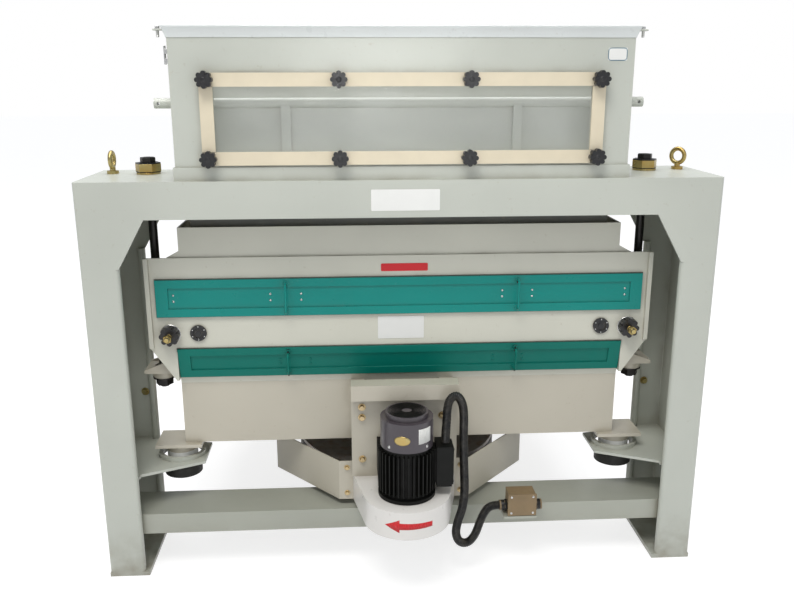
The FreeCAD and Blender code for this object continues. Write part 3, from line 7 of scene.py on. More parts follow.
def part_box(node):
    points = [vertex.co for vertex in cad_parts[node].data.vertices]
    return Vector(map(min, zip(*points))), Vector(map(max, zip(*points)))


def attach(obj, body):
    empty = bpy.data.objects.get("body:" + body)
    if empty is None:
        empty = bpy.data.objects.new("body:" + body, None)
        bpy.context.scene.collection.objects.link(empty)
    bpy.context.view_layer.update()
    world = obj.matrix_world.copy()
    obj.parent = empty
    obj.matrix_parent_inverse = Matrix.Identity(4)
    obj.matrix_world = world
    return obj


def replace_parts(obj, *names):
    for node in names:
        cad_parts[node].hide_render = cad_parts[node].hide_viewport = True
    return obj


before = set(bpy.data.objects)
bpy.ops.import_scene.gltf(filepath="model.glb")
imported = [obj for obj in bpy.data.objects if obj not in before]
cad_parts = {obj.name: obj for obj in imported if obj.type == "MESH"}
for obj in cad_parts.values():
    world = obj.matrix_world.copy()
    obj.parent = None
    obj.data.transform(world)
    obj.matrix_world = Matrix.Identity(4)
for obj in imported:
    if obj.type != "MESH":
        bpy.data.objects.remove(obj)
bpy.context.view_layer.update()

# The sieve's visual model: materials for the CAD nodes, then the pieces that the
# solids leave out. Metres, in the CAD frame.

MM = 0.001


# Materials


def srgb(red, green, blue):
    """A colour given as 0 to 255 on screen, as the linear colour that a shader reads."""
    def linear(value):
        value /= 255
        return value / 12.92 if value <= 0.04045 else ((value + 0.055) / 1.055) ** 2.4
    return (linear(red), linear(green), linear(blue), 1.0)


class Shade:
    """A node material under construction: one Principled shader and its inputs."""

    def __init__(self, name, roughness, metallic=0.0):
        self.material = bpy.data.materials.new(name)
        self.material.use_nodes = True
        self.tree = self.material.node_tree
        self.shader = self.tree.nodes["Principled BSDF"]
        self.shader.inputs["Metallic"].default_value = metallic
        self.shader.inputs["Roughness"].default_value = roughness
        self.place = self.add("ShaderNodeTexCoord").outputs["Object"]

    def add(self, kind, **values):
        node = self.tree.nodes.new(kind)
        for name, value in values.items():
            setattr(node, name, value)
        return node

    def link(self, source, target):
        self.tree.links.new(source, target)

    def noise(self, scale, detail=3.0, stretch=None):
        """A noise of so many cells a metre, stretched where the finish has a grain."""
        node = self.add("ShaderNodeTexNoise")
        node.inputs["Scale"].default_value = scale
        node.inputs["Detail"].default_value = detail
        source = self.place
        if stretch:
            mapping = self.add("ShaderNodeMapping")
            mapping.inputs["Scale"].default_value = stretch
            self.link(self.place, mapping.inputs["Vector"])
            source = mapping.outputs["Vector"]
        self.link(source, node.inputs["Vector"])
        return node.outputs["Fac"]

    def span(self, source, low, high, out_low, out_high):
        node = self.add("ShaderNodeMapRange")
        for name, value in (("From Min", low), ("From Max", high),
                            ("To Min", out_low), ("To Max", out_high)):
            node.inputs[name].default_value = value
        self.link(source, node.inputs["Value"])
        return node.outputs["Result"]

    def times(self, first, second):
        node = self.add("ShaderNodeMath", operation="MULTIPLY")
        self.link(first, node.inputs[0])
        self.link(second, node.inputs[1])
        return node.outputs[0]

    def mix(self, share, first, second):
        """Two colours, or a colour and a socket, mixed by a share between 0 and 1."""
        node = self.add("ShaderNodeMix", data_type="RGBA")
        self.link(share, node.inputs["Factor"])
        for socket, value in ((node.inputs[6], first), (node.inputs[7], second)):
            if isinstance(value, tuple):
                socket.default_value = value
            else:
                self.link(value, socket)
        return node.outputs[2]

    def height(self, low, high):
        """1 below a height of the object and 0 above another."""
        split = self.add("ShaderNodeSeparateXYZ")
        self.link(self.place, split.inputs[0])
        return self.span(split.outputs["Z"], low, high, 1.0, 0.0)

    def crevice_dust_and_shade(self, distance):
        """1 in occluded corners and 0 on open faces: the mask for dust and painted shade in the
        corners.
        """
        node = self.add("ShaderNodeAmbientOcclusion", samples=6)
        node.inputs["Distance"].default_value = distance
        return self.span(node.outputs["AO"], 0.55, 0.95, 1.0, 0.0)

    def colour(self, source):
        self.link(source, self.shader.inputs["Base Color"])

    def rough(self, source):
        self.link(source, self.shader.inputs["Roughness"])

    def bump(self, source, depth):
        """A relief of so many metres from a value between 0 and 1."""
        node = self.add("ShaderNodeBump")
        node.inputs["Distance"].default_value = depth
        self.link(source, node.inputs["Height"])
        self.link(node.outputs["Normal"], self.shader.inputs["Normal"])


def scaled(colour, share):
    return tuple(min(part * share, 1.0) for part in colour[:3]) + (1.0,)


def paint(name, colour, roughness=0.36, tone=0.06, coat=0.25, dust_and_shade=(120, 108, 84)):
    """Sprayed paint: cloudy tone, orange peel, dust with painted shade in the corners, and dust
    by the floor.
    """
    shade = Shade(name, roughness)
    clouds = shade.mix(shade.span(shade.noise(2.3, 4.0), 0.3, 0.7, 0.0, 1.0),
                       scaled(colour, 1 - tone), scaled(colour, 1 + tone))
    specks = shade.span(shade.noise(90.0, 5.0), 0.66, 0.78, 0.0, 0.22)
    speckled = shade.mix(specks, clouds, scaled(srgb(*dust_and_shade), 1.6))
    # Occluded corners darken toward the dust colour: dust, with painted shade in the corners.
    grime_and_shade = shade.times(shade.crevice_dust_and_shade(0.035), shade.span(
        shade.noise(14.0, 5.0), 0.3, 0.75, 0.05, 0.5))
    settled_and_shaded = shade.mix(grime_and_shade, speckled, srgb(*dust_and_shade))
    floor_dust = shade.times(shade.height(0.0, 0.16), shade.span(
        shade.noise(22.0, 6.0), 0.35, 0.8, 0.0, 0.7))
    shade.colour(shade.mix(floor_dust, settled_and_shaded, srgb(*dust_and_shade)))
    shade.rough(shade.span(shade.noise(35.0, 4.0), 0.3, 0.7, roughness - 0.05,
                           roughness + 0.1))
    shade.bump(shade.noise(420.0, 2.0), 0.00012)
    shade.shader.inputs["Coat Weight"].default_value = coat
    shade.shader.inputs["Coat Roughness"].default_value = 0.22
    return shade.material


def metal(name, colour, roughness, tint=None, grain=None, wear=0.12):
    """Bare or plated metal, with machining grain along an axis where grain is given."""
    shade = Shade(name, roughness, metallic=1.0)
    patches = shade.span(shade.noise(26.0, 5.0), 0.3, 0.7, 0.0, 1.0)
    shade.colour(shade.mix(patches, scaled(colour, 1 - wear), tint or scaled(colour, 1 + wear)))
    shade.rough(shade.span(shade.noise(60.0, 4.0), 0.3, 0.7, roughness - 0.08,
                           roughness + 0.12))
    shade.bump(shade.noise(300.0, 3.0, stretch=grain or (1, 1, 1)), 0.00008)
    return shade.material


def plastic(name, colour, roughness, grain=700.0, relief=0.00012, fleck=0.1):
    """Moulded plastic or rubber with a fine grain, a little handling dust and painted shade in
    the corners.
    """
    shade = Shade(name, roughness)
    tone = shade.mix(shade.span(shade.noise(18.0, 4.0), 0.3, 0.7, 0.0, 1.0),
                     scaled(colour, 1 - fleck), scaled(colour, 1 + fleck))
    # Occluded corners darken toward a dust colour: handling dust, with painted shade in the
    # corners.
    dust_and_shade = shade.times(shade.crevice_dust_and_shade(0.012), shade.span(
        shade.noise(60.0, 4.0), 0.4, 0.7, 0.0, 0.35))
    shade.colour(shade.mix(dust_and_shade, tone, srgb(132, 124, 108)))
    shade.rough(shade.span(shade.noise(80.0, 3.0), 0.3, 0.7, roughness - 0.06,
                           roughness + 0.1))
    shade.bump(shade.noise(grain, 2.0), relief)
    return shade.material


def cast_iron(name, colour):
    """Cast and partly machined iron: coarse relief, rust blush and oil sheen."""
    shade = Shade(name, 0.5, metallic=0.75)
    rust = shade.span(shade.noise(30.0, 7.0), 0.52, 0.72, 0.0, 0.55)
    shade.colour(shade.mix(rust, colour, srgb(112, 74, 48)))
    shade.rough(shade.span(shade.noise(45.0, 5.0), 0.3, 0.7, 0.35, 0.62))
    shade.bump(shade.noise(240.0, 5.0), 0.0004)
    return shade.material


def clear_sheet(name):
    """Clear acrylic as a thin glossy film, with faint smears that show its surface."""
    shade = Shade(name, 0.05)
    shade.shader.inputs["Base Color"].default_value = srgb(236, 238, 234)
    smears = shade.noise(7.0, 6.0)
    shade.rough(shade.span(smears, 0.45, 0.8, 0.03, 0.12))
    shade.link(shade.span(smears, 0.4, 0.8, 0.07, 0.16), shade.shader.inputs["Alpha"])
    return shade.material


PORTAL = paint("portal_paint", srgb(186, 189, 179))
BODY = paint("body_paint", srgb(190, 184, 168))
# A lighter copy of the body paint for the inlet hood and the door frame: painted light that
# brightens them against the shade under the beam.
LIGHTENED_BODY = paint("lightened_body_paint", srgb(202, 201, 187))
RIM = paint("rim_paint", srgb(214, 218, 216), roughness=0.3)
# A darker copy of the portal paint for the cross tubes: painted shade.
SHADED_TUBE = paint("tube_shaded_paint", srgb(166, 168, 156))
WHITE = paint("cover_paint", srgb(222, 219, 214), roughness=0.32)
TEAL = paint("teal_paint", srgb(0, 132, 123), roughness=0.32, coat=0.15, tone=0.09,
             dust_and_shade=(76, 126, 116))
# A darker copy of the teal paint for the lower door, its rivets and handles: painted shade of
# the leaning door, which faces down and gets less light.
SHADED_TEAL = paint("shaded_teal_paint", srgb(0, 112, 99), roughness=0.4, coat=0.0, tone=0.09,
                 dust_and_shade=(24, 98, 86))
# Dark grey on the feed chute: painted shade of the gap between the front beam and the inlet
# hood.
CHUTE_SHADE = paint("chute_shade_paint", srgb(92, 94, 88), roughness=0.5, coat=0.0)
CREAM = plastic("cream_strip", srgb(214, 203, 178), 0.45, grain=300.0, relief=0.00004,
                fleck=0.03)
PANE = clear_sheet("clear_pane")
KNOB = plastic("knob_black", srgb(23, 23, 25), 0.33)
RUBBER = plastic("rubber_black", srgb(38, 38, 36), 0.62, grain=900.0, relief=0.0002)
CONDUIT = plastic("conduit_black", srgb(12, 12, 13), 0.36)
KHAKI = plastic("khaki_box", srgb(128, 108, 78), 0.45, grain=450.0, relief=0.0002)
MOTOR = paint("motor_black", srgb(7, 8, 6), roughness=0.5, tone=0.15, coat=0.0,
              dust_and_shade=(24, 22, 20))
FAN_COVER = paint("fan_cover_paint", srgb(62, 56, 62), roughness=0.36, tone=0.1,
                  dust_and_shade=(90, 84, 78))
BRASS = metal("yellow_plated", srgb(190, 158, 92), 0.33, tint=srgb(176, 166, 118))
STEEL = metal("bright_steel", srgb(196, 196, 194), 0.26)
ZINC = metal("passivated_zinc", srgb(196, 176, 132), 0.3, tint=srgb(180, 160, 128))
DARK_STEEL = metal("black_oxide_steel", srgb(58, 57, 56), 0.4)
IRON = cast_iron("cast_iron", srgb(118, 114, 110))
LABEL = plastic("bare_label", srgb(226, 226, 222), 0.4, grain=90.0, relief=0.00001,
                fleck=0.015)
BORDER = plastic("border_blue", srgb(92, 126, 142), 0.45, grain=90.0, relief=0.00001)
RED = paint("red_marking", srgb(206, 22, 34), roughness=0.4, tone=0.06, coat=0.0)
GASKET = plastic("gasket_grey", srgb(84, 86, 80), 0.7)

DULL = 0.22
for material in (TEAL, SHADED_TEAL, MOTOR):
    material.node_tree.nodes["Principled BSDF"].inputs["Specular IOR Level"].default_value = DULL

CORNERS = ("front_left", "front_right", "rear_left", "rear_right")
LEGS = [corner + "_leg" for corner in CORNERS]
RODS = [corner + "_hanger_rod" for corner in CORNERS]
BEAMS = ["front_beam", "rear_beam"]
CROSS_TUBES = ["front_cross_tube", "rear_cross_tube"]
NODE_MATERIALS = {
    PORTAL: BEAMS + LEGS + ["limit_brackets", "feed_box", "feed_box_rim", "gate_flap",
                            "gate_shaft"],
    BODY: ["screen_housing", "drive_frame", "rod_brackets", "limit_posts", "motor_plate",
           "wing_guards", "rear_chutes"],
    # The cross tubes take the darker copy of the portal paint, painted shade.
    SHADED_TUBE: CROSS_TUBES,
    # The hood and the door frame take the lighter copy of the body paint, painted light.
    LIGHTENED_BODY: ["inlet_hood", "door_frame"],
    WHITE: ["belt_cover"],
    TEAL: ["upper_door", "lower_door"],
    # The feed chute takes the dark grey, painted shade of the gap.
    CHUTE_SHADE: ["feed_chute"],
    CREAM: ["window_frame"],
    PANE: ["window_pane"],
    KNOB: ["window_knobs", "door_fittings"],
    RUBBER: ["limit_buffers", "drive_belts"],
    KHAKI: ["junction_box"],
    MOTOR: ["motor_body", "terminal_box"],
    FAN_COVER: ["motor_fan_cover"],
    BRASS: ["lifting_eyes"],
    DARK_STEEL: RODS,
    IRON: ["drive_bearing", "flywheel", "motor_pulley"],
    CONDUIT: ["conduit"]}
SOFT_EDGES = {
    3.0: BEAMS + LEGS + ["screen_housing", "door_frame", "drive_frame"],
    1.0: ["feed_box", "limit_brackets", "limit_posts", "rod_brackets", "motor_plate",
          "rear_chutes", "inlet_hood"] + CROSS_TUBES + [
              "upper_door", "belt_cover", "window_frame", "terminal_box", "junction_box",
              "window_knobs"]}
for material, names in NODE_MATERIALS.items():
    for name in names:
        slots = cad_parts[name].material_slots
        if not slots:
            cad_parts[name].data.materials.append(material)
        for slot in slots:
            slot.material = material


def soften(thing, width):
    """Round the sharp edges by so many millimetres, so that they catch the light."""
    bevel = thing.modifiers.new("soft_edges", "BEVEL")
    bevel.width = width * MM
    bevel.segments = 2
    bevel.limit_method = "ANGLE"
    bevel.angle_limit = math.radians(40)
    bevel.harden_normals = True


for width, names in SOFT_EDGES.items():
    for name in names:
        soften(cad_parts[name], width)


# Mesh helpers


def lathe(bm, origin, axis, profile, sides=24, turn=0.0):
    """Turn a profile of (radius, height) pairs round an axis through the origin."""
    facing = Vector((0, 0, 1)).rotation_difference(Vector(axis)).to_matrix()
    rings = []
    for radius, height in profile:
        if radius < 1e-6:
            rings.append([bm.verts.new(Vector(origin) + facing @ Vector((0, 0, height)))])
            continue
        rings.append([bm.verts.new(Vector(origin) + facing @ Vector((
            radius * math.cos(turn + math.tau * step / sides),
            radius * math.sin(turn + math.tau * step / sides), height)))
            for step in range(sides)])
    for lower, upper in zip(rings, rings[1:]):
        for step in range(sides):
            corners = []
            for ring, index in ((lower, step), (lower, step + 1), (upper, step + 1),
                                (upper, step)):
                corner = ring[index % len(ring)]
                if corner not in corners:
                    corners.append(corner)
            if len(corners) > 2:
                bm.faces.new(corners)


def cuboid(bm, low, high):
    corners = [bm.verts.new((x, y, z)) for x in (low[0], high[0])
               for y in (low[1], high[1]) for z in (low[2], high[2])]
    for face in ((0, 1, 3, 2), (4, 6, 7, 5), (0, 4, 5, 1), (2, 3, 7, 6), (0, 2, 6, 4),
                 (1, 5, 7, 3)):
        bm.faces.new([corners[index] for index in face])


def piece(name, bm, material, body, bevel=0.0, sharp=35):
    """Make an object of the mesh, with its material and the body it rides on."""
    bmesh.ops.recalc_face_normals(bm, faces=bm.faces)
    mesh = bpy.data.meshes.new(name)
    bm.to_mesh(mesh)
    bm.free()
    for face in mesh.polygons:
        face.use_smooth = True
    mesh.set_sharp_from_angle(angle=math.radians(sharp))
    mesh.materials.append(material)
    thing = bpy.data.objects.new(name, mesh)
    bpy.context.scene.collection.objects.link(thing)
    if bevel:
        soften(thing, bevel)
    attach(thing, body)
    return thing


def thicken(thing, depth):
    """Give a sheet its thickness."""
    thing.modifiers.new("thickness", "SOLIDIFY").thickness = depth


def hex_head(bm, spot, axis, across, height, washer=0.0, turn=0.0):
    """A chamfered hexagon head or nut, on a washer where one is given."""
    corner = across / 2 / math.cos(math.pi / 6)
    base = 0.0
    if washer:
        base = across * 0.1
        lathe(bm, spot, axis, [(0, 0), (washer, 0), (washer, base * 0.7),
                               (washer * 0.97, base), (0, base)], 28)
    lathe(bm, spot, axis, [
        (0, base), (corner * 0.93, base), (corner, base + height * 0.1),
        (corner, base + height * 0.86), (corner * 0.9, base + height),
        (corner * 0.55, base + height * 1.001), (0, base + height)], 6, turn)


def dome(bm, spot, axis, radius, height, sides=16):
    """A round rivet or screw head."""
    profile = [(0.0, 0.0), (radius, 0.0)]
    for step in range(1, 5):
        angle = math.pi / 2 * step / 5
        profile.append((radius * math.cos(angle), height * math.sin(angle)))
    lathe(bm, spot, axis, profile + [(0.0, height)], sides)


def thread(bm, spot, axis, radius, length, pitch, sides=24):
    """A threaded end as closed rings one pitch apart, with a chamfered tip."""
    profile = [(0.0, 0.0), (radius * 0.9, 0.0)]
    for turn in range(int(length / pitch) - 1):
        profile += [(radius, pitch * (turn + 0.5)), (radius * 0.9, pitch * (turn + 1))]
    lathe(bm, spot, axis, profile + [(radius * 0.8, length), (0.0, length)], sides)


OUT = (0, -1, 0)
BACKWARD = (0, 1, 0)
UP = (0, 0, 1)
DOWN = (0, 0, -1)
SIDES = (-1, 1)

beam_low, beam_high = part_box("front_beam")
box_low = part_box("feed_box")[0]
rim_low, rim_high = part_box("feed_box_rim")
door_low, door_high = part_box("upper_door")
low_door_low, low_door_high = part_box("lower_door")
face_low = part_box("door_frame")[0]
house_low, house_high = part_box("screen_housing")
cover_low, cover_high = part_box("belt_cover")
fan_low, fan_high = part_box("motor_fan_cover")
plate_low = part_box("motor_plate")[0]
strip_low, strip_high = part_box("window_frame")
junction_low, junction_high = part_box("junction_box")
terminal_low, terminal_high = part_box("terminal_box")
knob_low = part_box("window_knobs")[0]
guard_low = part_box("wing_guards")[0]

# Hanger rod ends: plated nuts under black lock nuts above the beams, threads below

SEAT = 5.1 * MM
ROD_RADIUS = 12.6 * MM
SEAT_RADIUS = 32.4 * MM
NUT_HEIGHT = 26.0 * MM
plated = bmesh.new()
lock_nuts = bmesh.new()
threads = bmesh.new()
for name in RODS:
    low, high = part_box(name)
    x, y = (low[0] + high[0]) / 2, (low[1] + high[1]) / 2
    nut_low = beam_high[2] + SEAT
    lathe(plated, (x, y, beam_high[2] + 0.3 * MM), UP, [
        (ROD_RADIUS, 0), (SEAT_RADIUS, 0), (SEAT_RADIUS, 4 * MM), (SEAT_RADIUS - 1 * MM, SEAT),
        (ROD_RADIUS, SEAT)], 40)
    hex_head(plated, (x, y, nut_low), UP, 60.8 * MM, NUT_HEIGHT)
    hex_head(lock_nuts, (x, y, nut_low + NUT_HEIGHT + 0.1 * MM), UP, 36.6 * MM, 14.2 * MM)
    thread(threads, (x, y, low[2] + 6.5 * MM), DOWN, 12.5 * MM, 6.4 * MM, 2 * MM)
piece("hanger_top_nuts", plated, BRASS, "hangers")
piece("hanger_lock_nuts", lock_nuts, DARK_STEEL, "hangers")
piece("hanger_threads", threads, DARK_STEEL, "hangers")

# Feed box: corner ears with their bolts, the latch, the flared rim, the joints between
# the window strips and the caps of the star knobs

EAR_REACH = 22 * MM
ear_y = rim_low[1] + 32 * MM
ear_top = rim_high[2] - 8 * MM
ear_base = rim_high[2] - 12 * MM
ears = bmesh.new()
ear_bolts = bmesh.new()
for side in SIDES:
    edge = rim_high[0] * side
    near, far = sorted((edge, edge + side * EAR_REACH))
    cuboid(ears, (near, ear_y - 12 * MM, ear_base), (far, ear_y + 12 * MM, ear_top))
    bolt_x = edge + side * 12 * MM
    hex_head(ear_bolts, (bolt_x, ear_y, ear_top), UP, 10 * MM, 6 * MM, washer=8 * MM)
    thread(ear_bolts, (bolt_x, ear_y, ear_base), DOWN, 4 * MM, 16 * MM, 1.5 * MM, 16)
piece("rim_ears", ears, PORTAL, "portals", bevel=0.8)
piece("rim_ear_bolts", ear_bolts, STEEL, "portals")

latch = bmesh.new()
latch_x = box_low[0]
latch_y = box_low[1] + 37 * MM
latch_base = rim_low[2] - 64 * MM
for rise in (2 * MM, 26 * MM):
    cuboid(latch, (latch_x - 5 * MM, latch_y - 7 * MM, latch_base + rise),
           (latch_x + 6 * MM, latch_y + 7 * MM, latch_base + rise + 12 * MM))
lathe(latch, (latch_x - 4 * MM, latch_y, latch_base), UP,
      [(0, 0), (3 * MM, 0), (3 * MM, 44 * MM), (2 * MM, 46 * MM), (0, 46 * MM)], 14)
piece("box_latch", latch, STEEL, "portals", bevel=0.5)

# The rim's section, as millimetres out from the box wall and up from the rim's foot
RIM_FLARE = 12
RIM_PROFILE = (
    (-22, 0), (2, 0), (3, 5), (10, 23), (RIM_FLARE, 26), (RIM_FLARE, 29), (-22, 29))
rim = bmesh.new()
loops = []
for out, rise in RIM_PROFILE:
    shrink = (RIM_FLARE - out) * MM
    x0, x1 = rim_low[0] + shrink, rim_high[0] - shrink
    y0, y1 = rim_low[1] + shrink, rim_high[1] - shrink
    loops.append([rim.verts.new((x, y, rim_low[2] + rise * MM))
                  for x, y in ((x0, y0), (x1, y0), (x1, y1), (x0, y1))])
for lower, upper in zip(loops, loops[1:] + loops[:1]):
    for corner in range(4):
        following = (corner + 1) % 4
        rim.faces.new((lower[corner], lower[following], upper[following], upper[corner]))
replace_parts(piece("flared_rim", rim, RIM, "portals", bevel=1.4),
            "feed_box_rim")

STRIP_WIDTH = 34 * MM
strip_joints = bmesh.new()
for side in SIDES:
    for level in (strip_low[2] + STRIP_WIDTH, strip_high[2] - STRIP_WIDTH):
        x0, x1 = sorted((side * strip_high[0], side * (strip_high[0] - STRIP_WIDTH)))
        cuboid(strip_joints, (x0, strip_low[1] - 0.15 * MM, level - 0.5 * MM),
               (x1, strip_low[1] + 2 * MM, level + 0.5 * MM))
piece("strip_joints", strip_joints, GASKET, "portals")

knob_caps = bmesh.new()
knob_pitch = (strip_high[0] - STRIP_WIDTH / 2) / 3
for level in (strip_low[2] + STRIP_WIDTH / 2, strip_high[2] - STRIP_WIDTH / 2):
    for column in (-3, -1, 1, 3):
        dome(knob_caps, (column * knob_pitch, knob_low[1], level), OUT, 7 * MM, 1.6 * MM)
piece("knob_caps", knob_caps, KNOB, "portals")

# Doors: the leaning lower door, the seals behind the edges, rivets beside the handles
# and at the ends, and the handles

HANDLE_X = 327 * MM
RIVET_ROWS = (640 * MM, HANDLE_X + 44 * MM, HANDLE_X - 42 * MM)
DOOR_THICKNESS = 9 * MM
DOOR_RECESS = 5 * MM


def seal_ring(bm, low, high, depth, lean=None):
    """A thin seal that shows all round a door, as four strips."""
    grow = 2.2 * MM
    strips = (((low[0] - grow, low[2] - grow), (high[0] + grow, low[2])),
              ((low[0] - grow, high[2]), (high[0] + grow, high[2] + grow)),
              ((low[0] - grow, low[2]), (low[0], high[2])),
              ((high[0], low[2]), (high[0] + grow, high[2])))
    for (x0, z0), (x1, z1) in strips:
        corners = []
        for x, z in ((x0, z0), (x1, z0), (x1, z1), (x0, z1)):
            back = lean(z) if lean else high[1]
            corners.append((x, back, z))
        front = [bm.verts.new((x, y - depth, z)) for x, y, z in corners]
        rear = [bm.verts.new((x, y + 1 * MM, z)) for x, y, z in corners]
        bm.faces.new(front)
        bm.faces.new(rear[::-1])
        for index in range(4):
            following = (index + 1) % 4
            bm.faces.new((rear[index], rear[following], front[following], front[index]))


lean_run = low_door_high[1] - low_door_low[1] - DOOR_THICKNESS
lean_rise = low_door_high[2] - low_door_low[2]
lean_angle = math.atan2(lean_run, lean_rise)


def lean_y(height):
    """Where the back of the leaning lower door is at a height."""
    return low_door_high[1] - (height - low_door_low[2]) * lean_run / lean_rise


leaning_door = bmesh.new()


def door_rectangle(inset_x, inset_z, depth):
    """Four corners on the leaning door, from its front face inwards."""
    corners = []
    for side, level in ((-1, low_door_low[2] + inset_z), (1, low_door_low[2] + inset_z),
                        (1, low_door_high[2] - inset_z), (-1, low_door_high[2] - inset_z)):
        corners.append(leaning_door.verts.new((
            side * (low_door_high[0] - inset_x), lean_y(level) - DOOR_THICKNESS + depth, level)))
    return corners


EDGE_X = 34 * MM
EDGE_Z = 22 * MM
door_loops = [door_rectangle(0, 0, DOOR_THICKNESS), door_rectangle(0, 0, 0),
              door_rectangle(EDGE_X, EDGE_Z, 0), door_rectangle(EDGE_X, EDGE_Z, DOOR_RECESS)]
for outer, inner in zip(door_loops, door_loops[1:]):
    for corner in range(4):
        following = (corner + 1) % 4
        leaning_door.faces.new((outer[corner], outer[following], inner[following],
                                inner[corner]))
leaning_door.faces.new(door_loops[0])
leaning_door.faces.new(door_loops[-1])
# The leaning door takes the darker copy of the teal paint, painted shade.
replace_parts(piece("lower_door_panel", leaning_door, SHADED_TEAL, "screen_box",
                  bevel=0.9), "lower_door")

seals = bmesh.new()
seal_ring(seals, door_low, door_high, 3 * MM)
seal_ring(seals, low_door_low, low_door_high, 3 * MM, lean_y)
piece("door_seals", seals, GASKET, "screen_box")

rivets = bmesh.new()
door_middle = (door_low[2] + door_high[2]) / 2
for row in RIVET_ROWS:
    for side in SIDES:
        for rise in (-9, 9):
            dome(rivets, (side * row, door_low[1] + DOOR_RECESS, door_middle + rise * MM),
                 OUT, 3.4 * MM, 2.2 * MM)
piece("door_rivets", rivets, STEEL, "screen_box")

rivets = bmesh.new()
low_middle = (low_door_low[2] + low_door_high[2]) / 2
leaning_out = (0, -math.cos(lean_angle), -math.sin(lean_angle))
for row in RIVET_ROWS:
    for side in SIDES:
        for rise in (-7, 7):
            level = low_middle + rise * MM
            dome(rivets, (side * (row - 20 * MM), lean_y(level) - 4.6 * MM, level),
                 leaning_out, 3.2 * MM, 2.0 * MM)
# These rivets take the darker copy of the teal paint, painted shade.
piece("low_door_rivets", rivets, SHADED_TEAL, "screen_box")


def tube_skin(bm, rings):
    """Faces between the rings of a tube, each with as many vertices as the last."""
    for lower, upper in zip(rings, rings[1:]):
        for step in range(len(lower)):
            following = (step + 1) % len(lower)
            bm.faces.new((lower[step], lower[following], upper[following], upper[step]))


def bow(bm, x, y, z, spread, lean=0.0):
    """A bent wire handle that covers the plain solid one, painted with its door."""
    wire = 3.25 * MM
    reach = 24 * MM
    bend = 9 * MM
    half = spread / 2
    path = [(0.0, -half)]
    for step in range(7):
        angle = math.pi / 2 * step / 6
        path.append((reach - bend + bend * math.sin(angle),
                     -half + bend - bend * math.cos(angle)))
    path += [(out, -along) for out, along in reversed(path)]
    tilt = Matrix.Rotation(lean, 3, "X")
    rings = []
    for index, (out, along) in enumerate(path):
        before = path[max(index - 1, 0)]
        after = path[min(index + 1, len(path) - 1)]
        way = Vector((0, -(after[0] - before[0]), after[1] - before[1])).normalized()
        across = Vector((1, 0, 0))
        normal = way.cross(across)
        centre = Vector((0, -out, along))
        rings.append([bm.verts.new(Vector((x, y, z)) + tilt @ (
            centre + wire * (across * math.cos(math.tau * step / 12)
                             + normal * math.sin(math.tau * step / 12))))
            for step in range(12)])
    tube_skin(bm, rings)
    for end in (-half, half):
        foot = Vector((x, y, z)) + tilt @ Vector((0, 0, end))
        lathe(bm, foot, tilt @ Vector(OUT), [
            (0, 0), (7.3 * MM, 0), (7.3 * MM, 2.2 * MM), (6 * MM, 3.4 * MM), (0, 3.6 * MM)], 20)


HANDLE_MARGIN = 23 * MM
bows = bmesh.new()
low_bows = bmesh.new()
for side in SIDES:
    bow(bows, side * HANDLE_X, door_low[1], door_middle,
        door_high[2] - door_low[2] - HANDLE_MARGIN)
    bow(low_bows, side * HANDLE_X, lean_y(low_middle) - DOOR_THICKNESS, low_middle,
        lean_rise - HANDLE_MARGIN, lean_angle)
piece("door_handles", bows, TEAL, "screen_box")
# The lower handles take the darker copy of the teal paint, painted shade.
piece("low_door_handles", low_bows, SHADED_TEAL, "screen_box")

# Band between the doors: studs and washers of the clamp knobs, glass and rivets of the ports

RIB_DEPTH = 12 * MM
housing_side = house_high[0] - RIB_DEPTH
clamp_x = housing_side + 15 * MM
clamp_z = face_low[2] + 155 * MM
port_x = housing_side - 63 * MM
port_z = face_low[2] + 158 * MM
face_y = door_high[1]
RIVET_CIRCLE = 19 * MM
studs = bmesh.new()
washers = bmesh.new()
port_glass = bmesh.new()
port_rivets = bmesh.new()
for side in SIDES:
    hex_head(studs, (side * clamp_x, face_y - 41.4 * MM, clamp_z), OUT, 22 * MM, 11 * MM,
             turn=0.4)
    thread(studs, (side * clamp_x, face_y - 27 * MM, clamp_z), OUT, 8 * MM, 34.3 * MM, 2 * MM)
    lathe(washers, (side * clamp_x, face_y, clamp_z), OUT, [
        (0, 0), (29 * MM, 0), (29 * MM, 2.6 * MM), (28 * MM, 3.3 * MM), (17 * MM, 3.3 * MM),
        (0, 3.3 * MM)], 32)
    lathe(port_glass, (side * port_x, face_y - 3 * MM, port_z), OUT, [
        (0, 0), (14.8 * MM, 0), (14.8 * MM, 0.8 * MM), (12.6 * MM, 1.2 * MM),
        (12.2 * MM, 0.4 * MM), (8.4 * MM, 0.4 * MM), (8 * MM, 2.0 * MM), (0, 2.6 * MM)], 28)
    for step in range(6):
        angle = math.tau * (step + 0.5) / 6
        dome(port_rivets, (side * port_x + math.cos(angle) * RIVET_CIRCLE, face_y - 5.8 * MM,
                           port_z + math.sin(angle) * RIVET_CIRCLE),
             OUT, 2.2 * MM, 1.5 * MM, 10)
piece("clamp_studs", studs, BRASS, "screen_box")
piece("clamp_washers", washers, STEEL, "screen_box")
piece("port_glass", port_glass, KNOB, "screen_box")
piece("port_rivets", port_rivets, STEEL, "screen_box")

# Bare plates where the real machine carries signs

plates = bmesh.new()


def plate_outline(width, height, rounding, steps=5):
    """The outline of a plate with round corners, about its middle."""
    outline = []
    for corner_u, corner_v, start in (
            (1, 1, 0), (-1, 1, 90), (-1, -1, 180), (1, -1, 270)):
        for step in range(steps + 1):
            angle = math.radians(start + 90 * step / steps)
            outline.append((corner_u * (width / 2 - rounding) + rounding * math.cos(angle),
                            corner_v * (height / 2 - rounding) + rounding * math.sin(angle)))
    return outline


